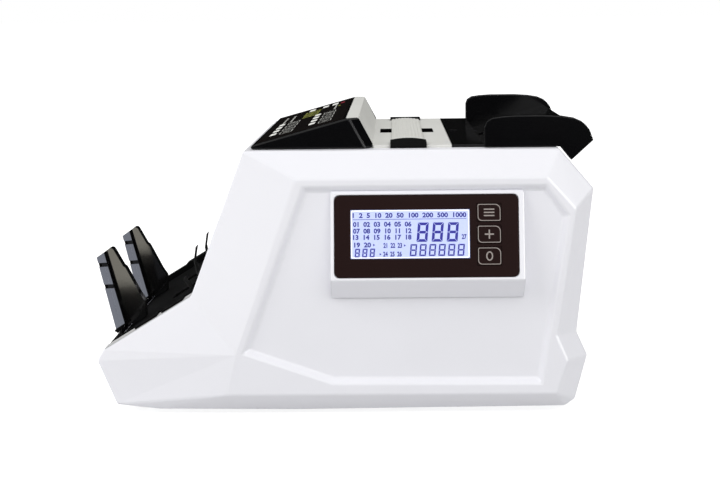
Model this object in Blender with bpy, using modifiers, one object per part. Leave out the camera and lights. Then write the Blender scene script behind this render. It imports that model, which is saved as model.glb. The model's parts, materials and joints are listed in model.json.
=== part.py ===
# Banknote counter: friction feed from a hopper at the top rear, stacker at the front.
# Metres, +Z up. The front, where the counted notes collect, faces -Y.
# The display on the side cover faces +X.

import math

import bmesh
import bpy
from mathutils import Vector

# Whole machine
mm = 0.001
foot_height = 3.0 * mm
seat_gap = 0.3 * mm
overrun = 4.0 * mm
cover_depth = 290.0 * mm
cover_height = 153.0 * mm

# Side covers
seam_x = 103.0 * mm
rim_width = 13.0 * mm
crest_rise = 10.0 * mm
cover_wall = 2.5 * mm
recess_depth = 3.0 * mm
crest_inset = 3.5 * mm
crest_bevel = 0.7 * mm
# Shares of cover_depth from the middle, and of cover_height from the bottom.
cover_outline_shares = (
    (-0.193, 1.000),
    (0.432, 1.000),
    (0.500, 0.850),
    (0.470, 0.300),
    (0.492, 0.209),
    (0.468, 0.036),
    (0.448, 0.009),
    (-0.103, 0.000),
    (-0.377, 0.005),
    (-0.463, 0.024),
    (-0.500, 0.197),
    (-0.487, 0.239),
    (-0.305, 0.448),
)
TOP_FRONT, TOP_REAR, REAR_UPPER, REAR_WAIST, REAR_HEEL, REAR_LOW, REAR_BASE = range(7)
FRONT_BASE, TOE_LOW, TOE_NOSE, TOE_TOP, NOTCH = range(8, 13)
crest_outline_shares = (
    (-0.088, 0.899),
    (0.405, 0.899),
    (0.462, 0.780),
    (0.426, 0.302),
    (0.449, 0.203),
    (0.428, 0.075),
    (-0.103, 0.075),
    (-0.232, 0.075),
    (-0.215, 0.240),
)
# For each outline corner, the crest corner that its facet runs to.
crest_of_corner = (0, 1, 2, 3, 4, 5, 5, 6, 7, 7, 8, 8, 8)
recess_outline_shares = (
    (-0.075, 0.871),
    (0.405, 0.871),
    (0.449, 0.757),
    (0.399, 0.113),
    (-0.020, 0.117),
    (-0.200, 0.236),
)

# Panels between the side covers
panel_wall = 2.2 * mm
panel_inset = 0.6 * mm
front_proud = 1.0 * mm
front_fold = 10.0 * mm
front_cut_back = 1.6 * mm
front_base_share = 0.345
vent_width = 44.0 * mm
vent_height = 3.0 * mm
vent_pitch = 8.0 * mm
vent_count = 6
vent_x = 40.0 * mm
vent_share = 0.56
rear_top_share = 0.20
rear_fold_share = 0.10
toe_fold_share = 0.72

# Base pan and feet
pan_wall = 1.2 * mm
pan_drop = 0.8 * mm
pan_flange = 11.0 * mm
pan_front_share = -0.410
pan_rear_share = 0.434
foot_top_radius = 9.0 * mm
foot_base_radius = 7.5 * mm
foot_x = 80.0 * mm
foot_y_share = 0.355

# Side frames and cross rods
frame_x = 96.0 * mm
frame_wall = 2.0 * mm
frame_inset = 9.0 * mm
frame_ear = 8.0 * mm
frame_ear_run = 5.0 * mm
rod_radius = 4.0 * mm
rod_place_share = (-0.386, 0.125)

# Control hump at the top front
hump_x = 108.0 * mm
hump_setback = 3.7 * mm
hump_depth = 70.7 * mm
hump_height = 17.5 * mm
hump_wall = 2.5 * mm
hump_cheek = 6.0 * mm
hump_rear_chamfer = 4.6 * mm
# Shares of hump_depth from the front, and of hump_height.
hump_outline_shares = (
    (0.000, 0.000),
    (0.000, 0.120),
    (0.783, 0.985),
    (0.884, 1.000),
    (1.000, 0.120),
    (1.000, 0.000),
)
hump_bevel = 0.8 * mm
hump_boss_radius = 3.0 * mm
hump_boss_y = 18.0 * mm

# Control panel on the hump's slope
overlay_width = 204.0 * mm
overlay_length = 53.6 * mm
overlay_wall = 1.0 * mm
overlay_ledge = 4.4 * mm
overlay_side_ledge = 13.5 * mm
board_wall = 1.6 * mm
board_depth = 7.0 * mm
board_width = 196.0 * mm
board_length = 44.0 * mm
front_key_width = 17.0 * mm
front_key_height = 6.5 * mm
front_key_pitch = 24.3 * mm
front_key_first_x = -3.0 * mm
front_key_columns = 4
front_key_rows_y = (6.9 * mm, -17.5 * mm)
key_proud = 0.4 * mm
key_flange = 0.8 * mm
key_flange_wall = 1.0 * mm
key_stem_width = 4.0 * mm
key_travel = 0.4 * mm
front_window_width = 62.0 * mm
front_window_height = 15.0 * mm
front_window_x = -48.0 * mm
front_window_y = -0.6 * mm
window_sink = 0.2 * mm

# Light-grey top cover
top_proud = 1.6 * mm
top_wall = 2.2 * mm
top_side_gap = 0.3 * mm
top_ridge_share = 0.780
top_ridge_rear_share = 0.884
top_foot_share = 0.998

# Finger well under the strap
well_width = 31.0 * mm
well_length = 34.4 * mm
well_depth = 22.0 * mm
well_wall = 2.0 * mm
well_setback = 3.6 * mm

# Carry strap and its end caps
strap_width = 19.4 * mm
strap_length = 168.0 * mm
strap_edge = 0.4 * mm
strap_crown = 1.1 * mm
rib_count = 9
rib_height = 0.35 * mm
cap_side = 0.9 * mm
cap_over = 0.8 * mm
cap_steps = 8
cap_bevel = 0.5 * mm
cap_flat = 2.0 * mm
cap_shoulder = 1.1 * mm
cap_hook = 3.2 * mm
cap_hook_wall = 1.0 * mm

# Hopper
deck_depth = 18.8 * mm
hopper_reach = 42.2 * mm
hopper_wall = 2.2 * mm
hopper_step_run = 3.5 * mm
hopper_step_drop = 7.6 * mm
hopper_rear_run = 14.0 * mm
hopper_rear_rise = 10.2 * mm
hopper_lip_run = 4.8 * mm
hopper_lip_drop = 6.0 * mm
hopper_hem_run = 9.5 * mm
hopper_hem_drop = 9.2 * mm
feed_slot_x = 92.0 * mm
feed_slot_back = 3.0 * mm
feed_slot_rise = 3.5 * mm
feed_slot_drop = 3.5 * mm
wing_wall = 4.8 * mm
wing_lap = 2.0 * mm
wing_bevel = 1.0 * mm
skirt_wall = 1.5 * mm
skirt_rise_share = 0.35
wing_length = 62.7 * mm
wing_height = 18.0 * mm
# Shares of wing_length from the front, and of wing_height above the rim.
wing_outline_shares = (
    (0.000, 0.000),
    (0.000, 0.660),
    (0.018, 0.820),
    (0.068, 0.930),
    (0.160, 0.975),
    (0.280, 1.000),
    (0.560, 1.000),
    (0.715, 0.965),
    (0.825, 0.900),
    (0.890, 0.800),
    (0.930, 0.680),
    (0.965, 0.520),
    (1.000, 0.200),
    (0.800, -0.440),
    (0.697, 0.000),
)

# Stacker tray and its two fingers
tray_sink = 3.0 * mm
tray_wall = 2.5 * mm
cheek_wall = 2.5 * mm
cheek_rise = 0.9 * mm
cheek_lead = 4.0 * mm
tray_front_share = 0.015
tray_rear_share = 0.985
cheek_front_share = 0.035
tab_wall = 1.0 * mm
tab_reach = 11.5 * mm
tab_length_shares = ((0.367, 0.609), (0.666, 0.903))
comb_rise_share = 0.136
wheel_slot_share = 0.55
slot_side_gap = 2.5 * mm
finger_x = 44.0 * mm
finger_web = 8.0 * mm
finger_flange = 14.0 * mm
finger_reach = 30.1 * mm
finger_height_share = 0.3484
finger_lead = 16.4 * mm
finger_drop = 2.8 * mm
# Shares of finger_reach from the front, and of the finger's height from the bottom.
finger_front_shares = ((0.349, 0.000), (0.000, 0.867), (0.339, 1.000))
finger_paper_shares = ((0.561, 0.769), (0.615, 0.743), (0.897, 0.428), (1.000, 0.341))
finger_heel_share = (0.655, 0.126)
finger_foot_share = 0.730
finger_strip_top = 5.0 * mm
finger_strip_base = 7.7 * mm
finger_groove = 2.6 * mm
finger_groove_depth = 3.0 * mm
finger_groove_shares = (0.595, 0.895)
finger_chamfer = 4.6 * mm
finger_round = 2.0 * mm

# Rotors: shaft radii, tyres and pulleys
shaft_radius = 3.0 * mm
running_gap = 0.3 * mm
note_gap = 0.3 * mm
tyre_x = 30.0 * mm
tyre_width = 16.0 * mm
tyre_groove_depth = 1.5 * mm
tyre_groove_width = 2.5 * mm
transport_place_shares = (0.062, 0.523)
transport_radius = 12.0 * mm
exit_place_shares = (-0.104, 0.536)
exit_radius = 10.0 * mm
transport_pinch_radius = 9.0 * mm
exit_pinch_radius = 8.0 * mm
pinch_width = 12.0 * mm
feed_back = 1.0 * mm
feed_drop = 31.6 * mm
feed_radius = 19.0 * mm
feed_x = 25.0 * mm
feed_width = 20.0 * mm
retard_radius = 7.0 * mm
retard_angle = math.radians(124.0)
pickup_back = 19.9 * mm
pickup_radius = 14.0 * mm
pickup_poke = 0.9 * mm
pickup_x = 45.0 * mm
pickup_width = 14.0 * mm
pickup_slot_gap = 2.0 * mm
wheel_back = 16.5 * mm
wheel_drop = 6.5 * mm
wheel_x = 27.5 * mm
wheel_width = 9.0 * mm
wheel_radius = 33.0 * mm
wheel_hub_radius = 13.0 * mm
blade_count = 9
blade_steps = 5
blade_root = 2.2 * mm
blade_tip = 0.9 * mm
blade_sweep = math.radians(62.0)
encoder_radius = 9.0 * mm
encoder_wall = 1.0 * mm
encoder_x = 84.0 * mm

# Belts and pulleys, in one plane outside each frame
belt_wall = 1.4 * mm
belt_width = 5.0 * mm
belt_steps = 8
belt_stand_off = 8.0 * mm
pulley_width = 6.0 * mm
shaft_stub = 1.5 * mm
motor_pulley_radius = 6.0 * mm
transport_drive_radius = 8.0 * mm
feed_pulley_radius = 16.0 * mm
pickup_drive_radius = 8.0 * mm
pickup_pulley_radius = 6.0 * mm
transport_exit_radius = 6.0 * mm
exit_pulley_radius = 5.0 * mm
stacker_pulley_radius = 12.0 * mm
bearing_radius = 7.0 * mm
bearing_reach = 2.5 * mm

# Motor
motor_place_shares = (0.035, 0.288)
motor_radius = 22.0 * mm
motor_length = 58.0 * mm
motor_boss_radius = 9.0 * mm
motor_boss = 5.0 * mm
motor_can_step = 2.0 * mm
motor_bore_depth = 8.0 * mm
motor_hole_radius = 6.0 * mm
motor_foot_height = 16.0 * mm

# Note guides
guide_wall = 1.2 * mm
guide_lead = 6.0 * mm
guide_space = 3.6 * mm
guide_side_gap = 1.5 * mm
guide_slot_gap = 2.0 * mm
guide_bend_back = 15.0 * mm
guide_rise = 8.0 * mm
guide_throat = 2.5 * mm
guide_turn_run = 11.0 * mm
guide_turn_rise = 12.0 * mm

# Gap screw in the deck
screw_head_radius = 3.5 * mm
screw_head_wall = 3.0 * mm
screw_stem_radius = 2.0 * mm
screw_sink = 0.2 * mm
screw_slot = 1.2 * mm

# Main board on the base pan
main_width = 110.0 * mm
main_length = 128.0 * mm
main_back = 24.0 * mm
standoff_radius = 3.0 * mm
standoff_height = 6.0 * mm
standoff_margin = 8.0 * mm
core_width = 54.0 * mm
core_length = 20.0 * mm
core_height = 44.0 * mm
coil_width = 30.0 * mm
coil_length = 36.0 * mm
coil_height = 30.0 * mm
core_x = 36.0 * mm
core_back = 36.0 * mm
capacitor_radius = 8.0 * mm
capacitor_height = 24.0 * mm
capacitor_pitch = 20.0 * mm

# Mains inlet and switch on the rear cover
inlet_x = -80.0 * mm
inlet_share = 0.40
inlet_flange_width = 30.0 * mm
inlet_flange_height = 52.0 * mm
inlet_flange_wall = 2.2 * mm
inlet_body_width = 26.0 * mm
inlet_body_height = 47.0 * mm
inlet_body_depth = 20.0 * mm
socket_width = 22.5 * mm
socket_height = 16.5 * mm
socket_depth = 17.0 * mm
socket_y = -11.0 * mm
socket_corner = 4.0 * mm
pin_width = 2.0 * mm
pin_height = 5.0 * mm
pin_length = 11.0 * mm
pin_spread = 7.0 * mm
pin_rise = 3.0 * mm
rocker_y = 14.0 * mm
rocker_width = 18.4 * mm
rocker_height = 11.8 * mm
rocker_top = 2.6 * mm
rocker_dip = 1.5 * mm
rocker_depth = 6.0 * mm
rocker_pivot = 2.0 * mm
rocker_tilt = math.radians(8.0)
rocker_gap = 1.0 * mm
rocker_well = 10.0 * mm

# Display on the right side cover
display_y = 48.7 * mm
display_z = 105.5 * mm
display_stand = 5.8 * mm
display_tilt = math.radians(14.1)
display_width = 104.5 * mm
display_height = 47.0 * mm
display_round = 3.0 * mm
bezel_border_front = 2.2 * mm
bezel_border_rear = 3.5 * mm
bezel_border_top = 1.8 * mm
bezel_border_base = 2.2 * mm
bezel_chin = 8.0 * mm
bezel_wall = 2.4 * mm
bezel_bevel = 0.8 * mm
bezel_ledge = 4.2 * mm
bezel_boss_radius = 1.5 * mm
bezel_boss_y = 14.0 * mm
lcd_width = 67.7 * mm
lcd_height = 28.0 * mm
lcd_x = -9.2 * mm
lcd_y = 1.2 * mm
module_width = 102.0 * mm
module_height = 42.0 * mm
side_key_width = 13.3 * mm
side_key_height = 10.0 * mm
side_key_x = 35.6 * mm
side_key_y = (13.1 * mm, 0.7 * mm, -11.7 * mm)

# Facets round a full circle
fine_steps = 24
plain_steps = 16
small_steps = 12
corner_steps = 3

for old in list(bpy.data.objects):
    bpy.data.objects.remove(old)

counter = bpy.data.collections.new("banknote_counter")
cutters = bpy.data.collections.new("cutters")
bpy.context.scene.collection.children.link(counter)
bpy.context.scene.collection.children.link(cutters)

# Axes: a piece drawn flat in its own XY stands in YZ with FLAT_YZ, in XZ with FLAT_XZ,
# and a piece turned about its own Z lies along X with ALONG_X.
FLAT_YZ = (math.pi / 2, 0, math.pi / 2)
FLAT_XZ = (math.pi / 2, 0, 0)
ALONG_X = (0, math.pi / 2, 0)
SIDES = (-1, 1)


# Small tools for points


def along(start, end, share):
    """The point at this share of the way from start to end."""
    return tuple(a + (b - a) * share for a, b in zip(start, end))


def cover_point(share):
    return (share[0] * cover_depth, share[1] * cover_height)


def offset_line(points, distance, closed):
    """The line moved to its left by distance, with mitred corners."""
    count = len(points)
    moved = []
    for i, point in enumerate(points):
        here = Vector(point)
        before = Vector(points[i - 1]) if closed or i > 0 else None
        after = Vector(points[(i + 1) % count]) if closed or i < count - 1 else None
        first = (here - before).normalized() if before is not None else (after - here).normalized()
        second = (after - here).normalized() if after is not None else first
        left_one = Vector((-first.y, first.x))
        left_two = Vector((-second.y, second.x))
        mitre = (left_one + left_two).normalized()
        moved.append(tuple(here + mitre * (distance / mitre.dot(left_one))))
    return moved


def sheet_outline(points, thickness):
    """Closed outline of a bent sheet: the line and its copy moved to the left by thickness."""
    return list(points) + offset_line(points, thickness, closed=False)[::-1]


def rounded(points, radii):
    """The outline with each corner turned into an arc of its radius."""
    result = []
    count = len(points)
    for i, point in enumerate(points):
        radius = radii[i]
        if radius == 0:
            result.append(tuple(point))
            continue
        corner = Vector(point)
        to_before = (Vector(points[i - 1]) - corner).normalized()
        to_after = (Vector(points[(i + 1) % count]) - corner).normalized()
        half = to_before.angle(to_after) / 2
        run = radius / math.tan(half)
        centre = corner + (to_before + to_after).normalized() * (radius / math.sin(half))
        start = corner + to_before * run - centre
        turn = start.angle_signed(corner + to_after * run - centre)
        for k in range(corner_steps + 1):
            angle = -turn * k / corner_steps
            spun = Vector(
                (
                    start.x * math.cos(angle) - start.y * math.sin(angle),
                    start.x * math.sin(angle) + start.y * math.cos(angle),
                )
            )
            result.append(tuple(centre + spun))
    return result


def rectangle(width, height, centre=(0, 0)):
    x, y = centre
    return [
        (x - width / 2, y - height / 2),
        (x + width / 2, y - height / 2),
        (x + width / 2, y + height / 2),
        (x - width / 2, y + height / 2),
    ]


def circle(radius, centre, steps):
    """A circle whose flats, and not its corners, lie at the radius."""
    outer = radius / math.cos(math.pi / steps)
    turns = [2 * math.pi * (k + 0.5) / steps for k in range(steps)]
    return [(centre[0] + outer * math.cos(t), centre[1] + outer * math.sin(t)) for t in turns]


# Small tools for solids


def finish(name, colour, roughness, metallic=0.0):
    made = bpy.data.materials.get(name)
    if made is None:
        made = bpy.data.materials.new(name)
        made.use_nodes = True
        shader = made.node_tree.nodes["Principled BSDF"]
        shader.inputs["Base Color"].default_value = (*colour, 1.0)
        shader.inputs["Roughness"].default_value = roughness
        shader.inputs["Metallic"].default_value = metallic
        made.diffuse_color = (*colour, 1.0)
    return made


def white_shell(name):
    return finish(name, (0.86, 0.87, 0.90), 0.38)


def black_gloss(name):
    return finish(name, (0.006, 0.006, 0.007), 0.12)


def grey_shell(name):
    return finish(name, (0.56, 0.56, 0.52), 0.40)


def steel(name):
    return finish(name, (0.55, 0.56, 0.58), 0.30, 1.0)


def rubber(name):
    return finish(name, (0.03, 0.03, 0.03), 0.85)


def empty(name, place, turn=(0, 0, 0), holder=None):
    made = bpy.data.objects.new(name, None)
    counter.objects.link(made)
    made.location = place
    made.rotation_euler = turn
    made.parent = holder
    return made


def place_object(name, data, place, turn, holder, material, collection=counter):
    made = bpy.data.objects.new(name, data)
    collection.objects.link(made)
    made.location = place
    made.rotation_euler = turn
    made.parent = holder
    if material is not None:
        made.data.materials.append(material)
    return made


def mesh_of(bm, name):
    mesh = bpy.data.meshes.new(name)
    bmesh.ops.recalc_face_normals(bm, faces=bm.faces)
    bm.to_mesh(mesh)
    bm.free()
    return mesh


def box(name, size, place=(0, 0, 0), holder=None, material=None, turn=(0, 0, 0)):
    bm = bmesh.new()
    bmesh.ops.create_cube(bm, size=1.0)
    bmesh.ops.scale(bm, vec=size, verts=bm.verts)
    return place_object(name, mesh_of(bm, name), place, turn, holder, material)


def plate(name, outline, thickness, place, turn, holder, material, holes=()):
    """A flat outline in its own XY, thickened evenly to both sides along its own Z."""
    flat = bpy.data.curves.new(name, "CURVE")
    flat.dimensions = "2D"
    flat.fill_mode = "BOTH"
    flat.extrude = thickness / 2
    for points in (outline, *holes):
        line = flat.splines.new("POLY")
        line.points.add(len(points) - 1)
        for spot, point in zip(line.points, points):
            spot.co = Vector(point).to_4d()
        line.use_cyclic_u = True
    drawn = place_object(name, flat, place, turn, holder, material)
    return as_mesh(drawn)


def as_mesh(drawn):
    """The curve object replaced by a closed mesh in the same place."""
    bpy.context.view_layer.update()
    graph = bpy.context.evaluated_depsgraph_get()
    mesh = bpy.data.meshes.new_from_object(drawn.evaluated_get(graph))
    bm = bmesh.new()
    bm.from_mesh(mesh)
    bmesh.ops.remove_doubles(bm, verts=bm.verts, dist=seat_gap / 100)
    bmesh.ops.recalc_face_normals(bm, faces=bm.faces)
    bm.to_mesh(mesh)
    bm.free()
    name, holder = drawn.name, drawn.parent
    place, turn = drawn.location.copy(), drawn.rotation_euler.copy()
    old = drawn.data
    bpy.data.objects.remove(drawn)
    bpy.data.curves.remove(old)
    return place_object(name, mesh, place, turn, holder, None)


def turned(name, loops, steps, place, turn, holder, material):
    """Profiles of (height, radius), from the top down, spun about the piece's own Z.

    A profile that starts and ends on the axis is solid, and any other is closed to a ring.
    """
    bm = bmesh.new()
    for loop in loops:
        verts = [bm.verts.new((radius, 0, height)) for height, radius in loop]
        pairs = list(zip(verts, verts[1:]))
        if loop[0][1] > 0:
            pairs.append((verts[-1], verts[0]))
        for one, two in pairs:
            bm.edges.new((one, two))
    mesh = bpy.data.meshes.new(name)
    bm.to_mesh(mesh)
    bm.free()
    made = place_object(name, mesh, place, turn, holder, material)
    spin = made.modifiers.new("turned", "SCREW")
    spin.axis = "Z"
    spin.steps = steps
    spin.render_steps = steps
    spin.use_merge_vertices = True
    spin.merge_threshold = seat_gap / 10
    return made


def ring_profile(top, base, outer, inner):
    return [(top, outer), (base, outer), (base, inner), (top, inner)]


def rod_profile(top, base, radius):
    return [(top, 0), (top, radius), (base, radius), (base, 0)]


def hide(cutter):
    for home in list(cutter.users_collection):
        home.objects.unlink(cutter)
    cutters.objects.link(cutter)
    cutter.hide_render = True
    cutter.display_type = "WIRE"


def cut(target, cutter):
    change = target.modifiers.new("cut_" + cutter.name, "BOOLEAN")
    change.operation = "DIFFERENCE"
    change.object = cutter
    hide(cutter)


def fuse(target, other):
    change = target.modifiers.new("join_" + other.name, "BOOLEAN")
    change.operation = "UNION"
    change.object = other
    hide(other)


def soften(target, width, angle=math.radians(40.0)):
    """A small bevel on the piece's sharp edges."""
    change = target.modifiers.new("edges", "BEVEL")
    change.width = width
    change.segments = 1
    change.limit_method = "ANGLE"
    change.angle_limit = angle


def chamfer(target, width, line):
    """The long edges that run along this part of a plate's outline, cut back by width."""
    bm = bmesh.new()
    bm.from_mesh(target.data)
    flat = math.radians(1.0)
    bmesh.ops.dissolve_limit(bm, angle_limit=flat, verts=bm.verts, edges=bm.edges)
    near = seat_gap / 10
    chosen = []
    for start, end in zip(line, line[1:]):
        for edge in bm.edges:
            one, two = [vertex.co.to_2d() for vertex in edge.verts]
            for first, second in ((one, two), (two, one)):
                if (first - Vector(start)).length < near and (second - Vector(end)).length < near:
                    chosen.append(edge)
    bmesh.ops.bevel(
        bm, geom=chosen, offset=width, offset_type="OFFSET", segments=1, profile=0.5, affect="EDGES"
    )
    bm.to_mesh(target.data)
    bm.free()


def shade_round(target):
    """Smooth shading over the piece's small turns, with its corners left sharp."""
    target.data.shade_smooth()
    target.data.set_sharp_from_angle(angle=math.radians(46.0))


def gather(name, pieces, holder, material):
    """One object that holds several separate solids, drawn in its holder's axes."""
    bpy.context.view_layer.update()
    graph = bpy.context.evaluated_depsgraph_get()
    bm = bmesh.new()
    home = holder.matrix_world.inverted()
    for piece in pieces:
        mesh = bpy.data.meshes.new_from_object(piece.evaluated_get(graph))
        mesh.transform(home @ piece.matrix_world)
        bm.from_mesh(mesh)
        bpy.data.meshes.remove(mesh)
    for piece in pieces:
        bpy.data.objects.remove(piece)
    return place_object(name, mesh_of(bm, name), (0, 0, 0), (0, 0, 0), holder, material)


def yz_plate(name, outline, thickness, x, holder, material, holes=()):
    return plate(name, outline, thickness, (x, 0, 0), FLAT_YZ, holder, material, holes)


# Places that several pieces share

outline = [cover_point(share) for share in cover_outline_shares]
# The outline runs clockwise seen from +X, so its left side is outside.
inset_outline = offset_line(outline, -panel_inset, closed=True)
frame_outline = offset_line(outline, -frame_inset, closed=True)
rim_x = seam_x + rim_width
crest_x = rim_x + crest_rise
recess_x = crest_x - recess_depth
display_reach = crest_x + display_stand
panel_span = 2 * (seam_x - seat_gap)

hump_front_y = outline[TOP_FRONT][0] + hump_setback
hump_base_z = cover_height + seat_gap
hump_outline = [
    (hump_front_y + hump_depth * run, hump_base_z + hump_height * rise)
    for run, rise in hump_outline_shares
]
slope_base, slope_top = hump_outline[1], hump_outline[2]
slope_angle = math.atan2(slope_top[1] - slope_base[1], slope_top[0] - slope_base[0])
slope_centre = along(slope_base, slope_top, 0.5)
hump_rear_y = hump_front_y + hump_depth

top_z = cover_height + top_proud
hopper_front_y = outline[TOP_REAR][0] - hopper_reach
deck_front_y = hopper_front_y - deck_depth
floor_front = (hopper_front_y + hopper_step_run, top_z - hopper_step_drop)
floor_rear = (outline[TOP_REAR][0] + hopper_rear_run, cover_height + hopper_rear_rise)
floor_slope = math.atan2(floor_rear[1] - floor_front[1], floor_rear[0] - floor_front[0])

transport_place = cover_point(transport_place_shares)
exit_place = cover_point(exit_place_shares)
motor_place = cover_point(motor_place_shares)
feed_place = (hopper_front_y + feed_back, top_z - feed_drop)
retard_reach = feed_radius + note_gap + retard_radius
retard_place = (
    feed_place[0] + retard_reach * math.cos(retard_angle),
    feed_place[1] + retard_reach * math.sin(retard_angle),
)
pickup_y = hopper_front_y + pickup_back
pickup_floor_z = floor_front[1] + (pickup_y - floor_front[0]) * math.tan(floor_slope)
pickup_place = (
    pickup_y,
    pickup_floor_z - (pickup_radius - pickup_poke) / math.cos(floor_slope),
)
notch = outline[NOTCH]
toe_top = outline[TOE_TOP]
wheel_place = (notch[0] + wheel_back, notch[1] - wheel_drop)
transport_pinch_place = (
    transport_place[0],
    transport_place[1] + transport_radius + note_gap + transport_pinch_radius,
)
exit_pinch_place = (
    exit_place[0],
    exit_place[1] + exit_radius + note_gap + exit_pinch_radius,
)
bearing_places = (
    transport_place,
    exit_place,
    feed_place,
    pickup_place,
    wheel_place,
    transport_pinch_place,
    exit_pinch_place,
)
frame_outer_x = frame_x + frame_wall
bearing_outer_x = frame_outer_x + bearing_reach
belt_x = frame_outer_x + belt_stand_off

tray_line = offset_line([toe_top, notch, outline[TOP_FRONT]], -tray_sink, closed=False)
tray_slope = math.atan2(notch[1] - toe_top[1], notch[0] - toe_top[0])


def tray_z(y):
    """Height of the stacker tray's upper face."""
    return tray_line[0][1] + (y - tray_line[0][0]) * math.tan(tray_slope)


def machine_reach():
    """The lowest and highest x and y of the machine, about its own middle."""
    bezel_x = (
        display_reach
        + (display_height / 2 + bezel_border_base) * math.sin(display_tilt)
    )
    finger_y = toe_top[0] - finger_lead
    wing_y = hopper_front_y + wing_length
    return -crest_x, bezel_x, finger_y, wing_y


low_x, high_x, low_y, high_y = machine_reach()
machine = empty(
    "machine", (-(low_x + high_x) / 2, -(low_y + high_y) / 2, foot_height)
)


# Side covers


def faceted_block(name, rim, crest, rim_from, rim_to, crest_to, side, recess=None):
    """A block from the seam out to its rim and on to a smaller crest, on one side."""
    bm = bmesh.new()

    def ring(points, x):
        return [bm.verts.new((side * x, y, z)) for y, z in points]

    inner = ring(rim, rim_from)
    outer = ring(rim, rim_to)
    top = ring(crest, crest_to)
    count = len(rim)
    bm.faces.new(inner)
    for i in range(count):
        j = (i + 1) % count
        bm.faces.new((inner[i], inner[j], outer[j], outer[i]))
        first, second = top[crest_of_corner[i]], top[crest_of_corner[j]]
        if first is second:
            bm.faces.new((outer[i], outer[j], first))
        else:
            bm.faces.new((outer[i], outer[j], second, first))
    if recess is None:
        bm.faces.new(top)
    else:
        edge = ring(recess, crest_to)
        floor = ring(offset_line(recess, -recess_depth, closed=True), crest_to - recess_depth)
        size = len(recess)
        for i in range(size):
            j = (i + 1) % size
            bm.faces.new((edge[i], edge[j], floor[j], floor[i]))
        bm.faces.new(floor)
        borders = []
        for loop in (top, edge):
            borders += [bm.edges.get(pair) for pair in zip(loop, loop[1:] + loop[:1])]
        bmesh.ops.triangle_fill(bm, use_beauty=True, use_dissolve=False, edges=borders)
    return mesh_of(bm, name)


def side_cover(name, side):
    crest = [cover_point(share) for share in crest_outline_shares]
    recess = [cover_point(share) for share in recess_outline_shares]
    shell = faceted_block(name, outline, crest, seam_x, rim_x, crest_x, side, recess)
    made = place_object(name, shell, (0, 0, 0), (0, 0, 0), machine, white_shell("white_abs"))
    soften(made, crest_bevel, math.radians(8.0))
    cavity = faceted_block(
        name + "_cavity",
        offset_line(outline, -cover_wall, closed=True),
        offset_line(crest, -crest_inset, closed=True),
        seam_x - overrun,
        rim_x - cover_wall / 2,
        recess_x - cover_wall,
        side,
    )
    cut(made, place_object(name + "_cavity", cavity, (0, 0, 0), (0, 0, 0), machine, None))
    return made


left_cover = side_cover("left_side_cover", -1)
right_cover = side_cover("right_side_cover", 1)


# Base pan, feet and the panels between the side covers


def base_pan():
    front_y = pan_front_share * cover_depth
    rear_y = pan_rear_share * cover_depth
    line = [
        (front_y, pan_drop + pan_flange),
        (front_y, pan_drop),
        (rear_y, pan_drop),
        (rear_y, pan_drop + pan_flange),
    ]
    sheet = sheet_outline(line, pan_wall)
    return yz_plate("base_pan", sheet, panel_span, 0, machine, steel("pan_steel"))


def rubber_feet():
    top = pan_drop - seat_gap
    profile = [
        (top, 0),
        (top, foot_top_radius),
        (-foot_height, foot_base_radius),
        (-foot_height, 0),
    ]
    for end, side_y in (("front", -1), ("rear", 1)):
        for side, side_x in (("left", -1), ("right", 1)):
            place = (side_x * foot_x, side_y * foot_y_share * cover_depth, 0)
            turned(
                "rubber_foot_" + end + "_" + side,
                [profile],
                plain_steps,
                place,
                (0, 0, 0),
                machine,
                rubber("foot_rubber"),
            )


def toe_cover():
    line = [
        along(inset_outline[FRONT_BASE], inset_outline[TOE_LOW], toe_fold_share),
        inset_outline[TOE_LOW],
        inset_outline[TOE_NOSE],
        inset_outline[TOE_TOP],
    ]
    sheet = sheet_outline(line, -panel_wall)
    return yz_plate("toe_cover", sheet, panel_span, 0, machine, white_shell("white_abs"))


def front_cover():
    """The sloping front above the mouth where the notes come out."""
    proud = offset_line([notch, outline[TOP_FRONT]], front_proud, closed=False)
    top = (proud[1][0], proud[1][1] - front_cut_back)
    line = [
        along(proud[0], proud[1], front_base_share),
        top,
        (top[0] + front_fold, top[1]),
    ]
    sheet = sheet_outline(line, -cover_wall)
    return yz_plate("front_cover", sheet, panel_span, 0, machine, white_shell("white_abs"))


def rear_cover():
    line = [
        along(inset_outline[TOP_REAR], inset_outline[REAR_UPPER], rear_top_share),
        inset_outline[REAR_UPPER],
        inset_outline[REAR_WAIST],
        inset_outline[REAR_HEEL],
        inset_outline[REAR_LOW],
        along(inset_outline[REAR_LOW], inset_outline[REAR_BASE], 1 - rear_fold_share),
    ]
    sheet = sheet_outline(line, -panel_wall)
    made = yz_plate("rear_cover", sheet, panel_span, 0, machine, white_shell("white_abs"))
    middle = along(inset_outline[REAR_WAIST], inset_outline[REAR_UPPER], vent_share)
    for side in SIDES:
        for k in range(vent_count):
            z = middle[1] + (k - (vent_count - 1) / 2) * vent_pitch
            size = (vent_width, 2 * overrun + 4 * panel_wall, vent_height)
            cut(made, box("vent", size, (side * vent_x, middle[0], z), machine))
    return made


base_pan()
rubber_feet()
toe_cover()
front_cover()
rear = rear_cover()


# Side frames, rods and bearings


def frame_discs(name, side, inner, outer, radius, places):
    """Discs on one side's frame, gathered as one tool for a cut or a join."""
    profile = rod_profile(outer, inner, radius)
    discs = []
    for y, z in places:
        loop = [(side * height, across) for height, across in profile]
        discs.append(turned("disc", [loop], small_steps, (0, y, z), ALONG_X, machine, None))
    return gather(name, discs, machine, None)


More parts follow.
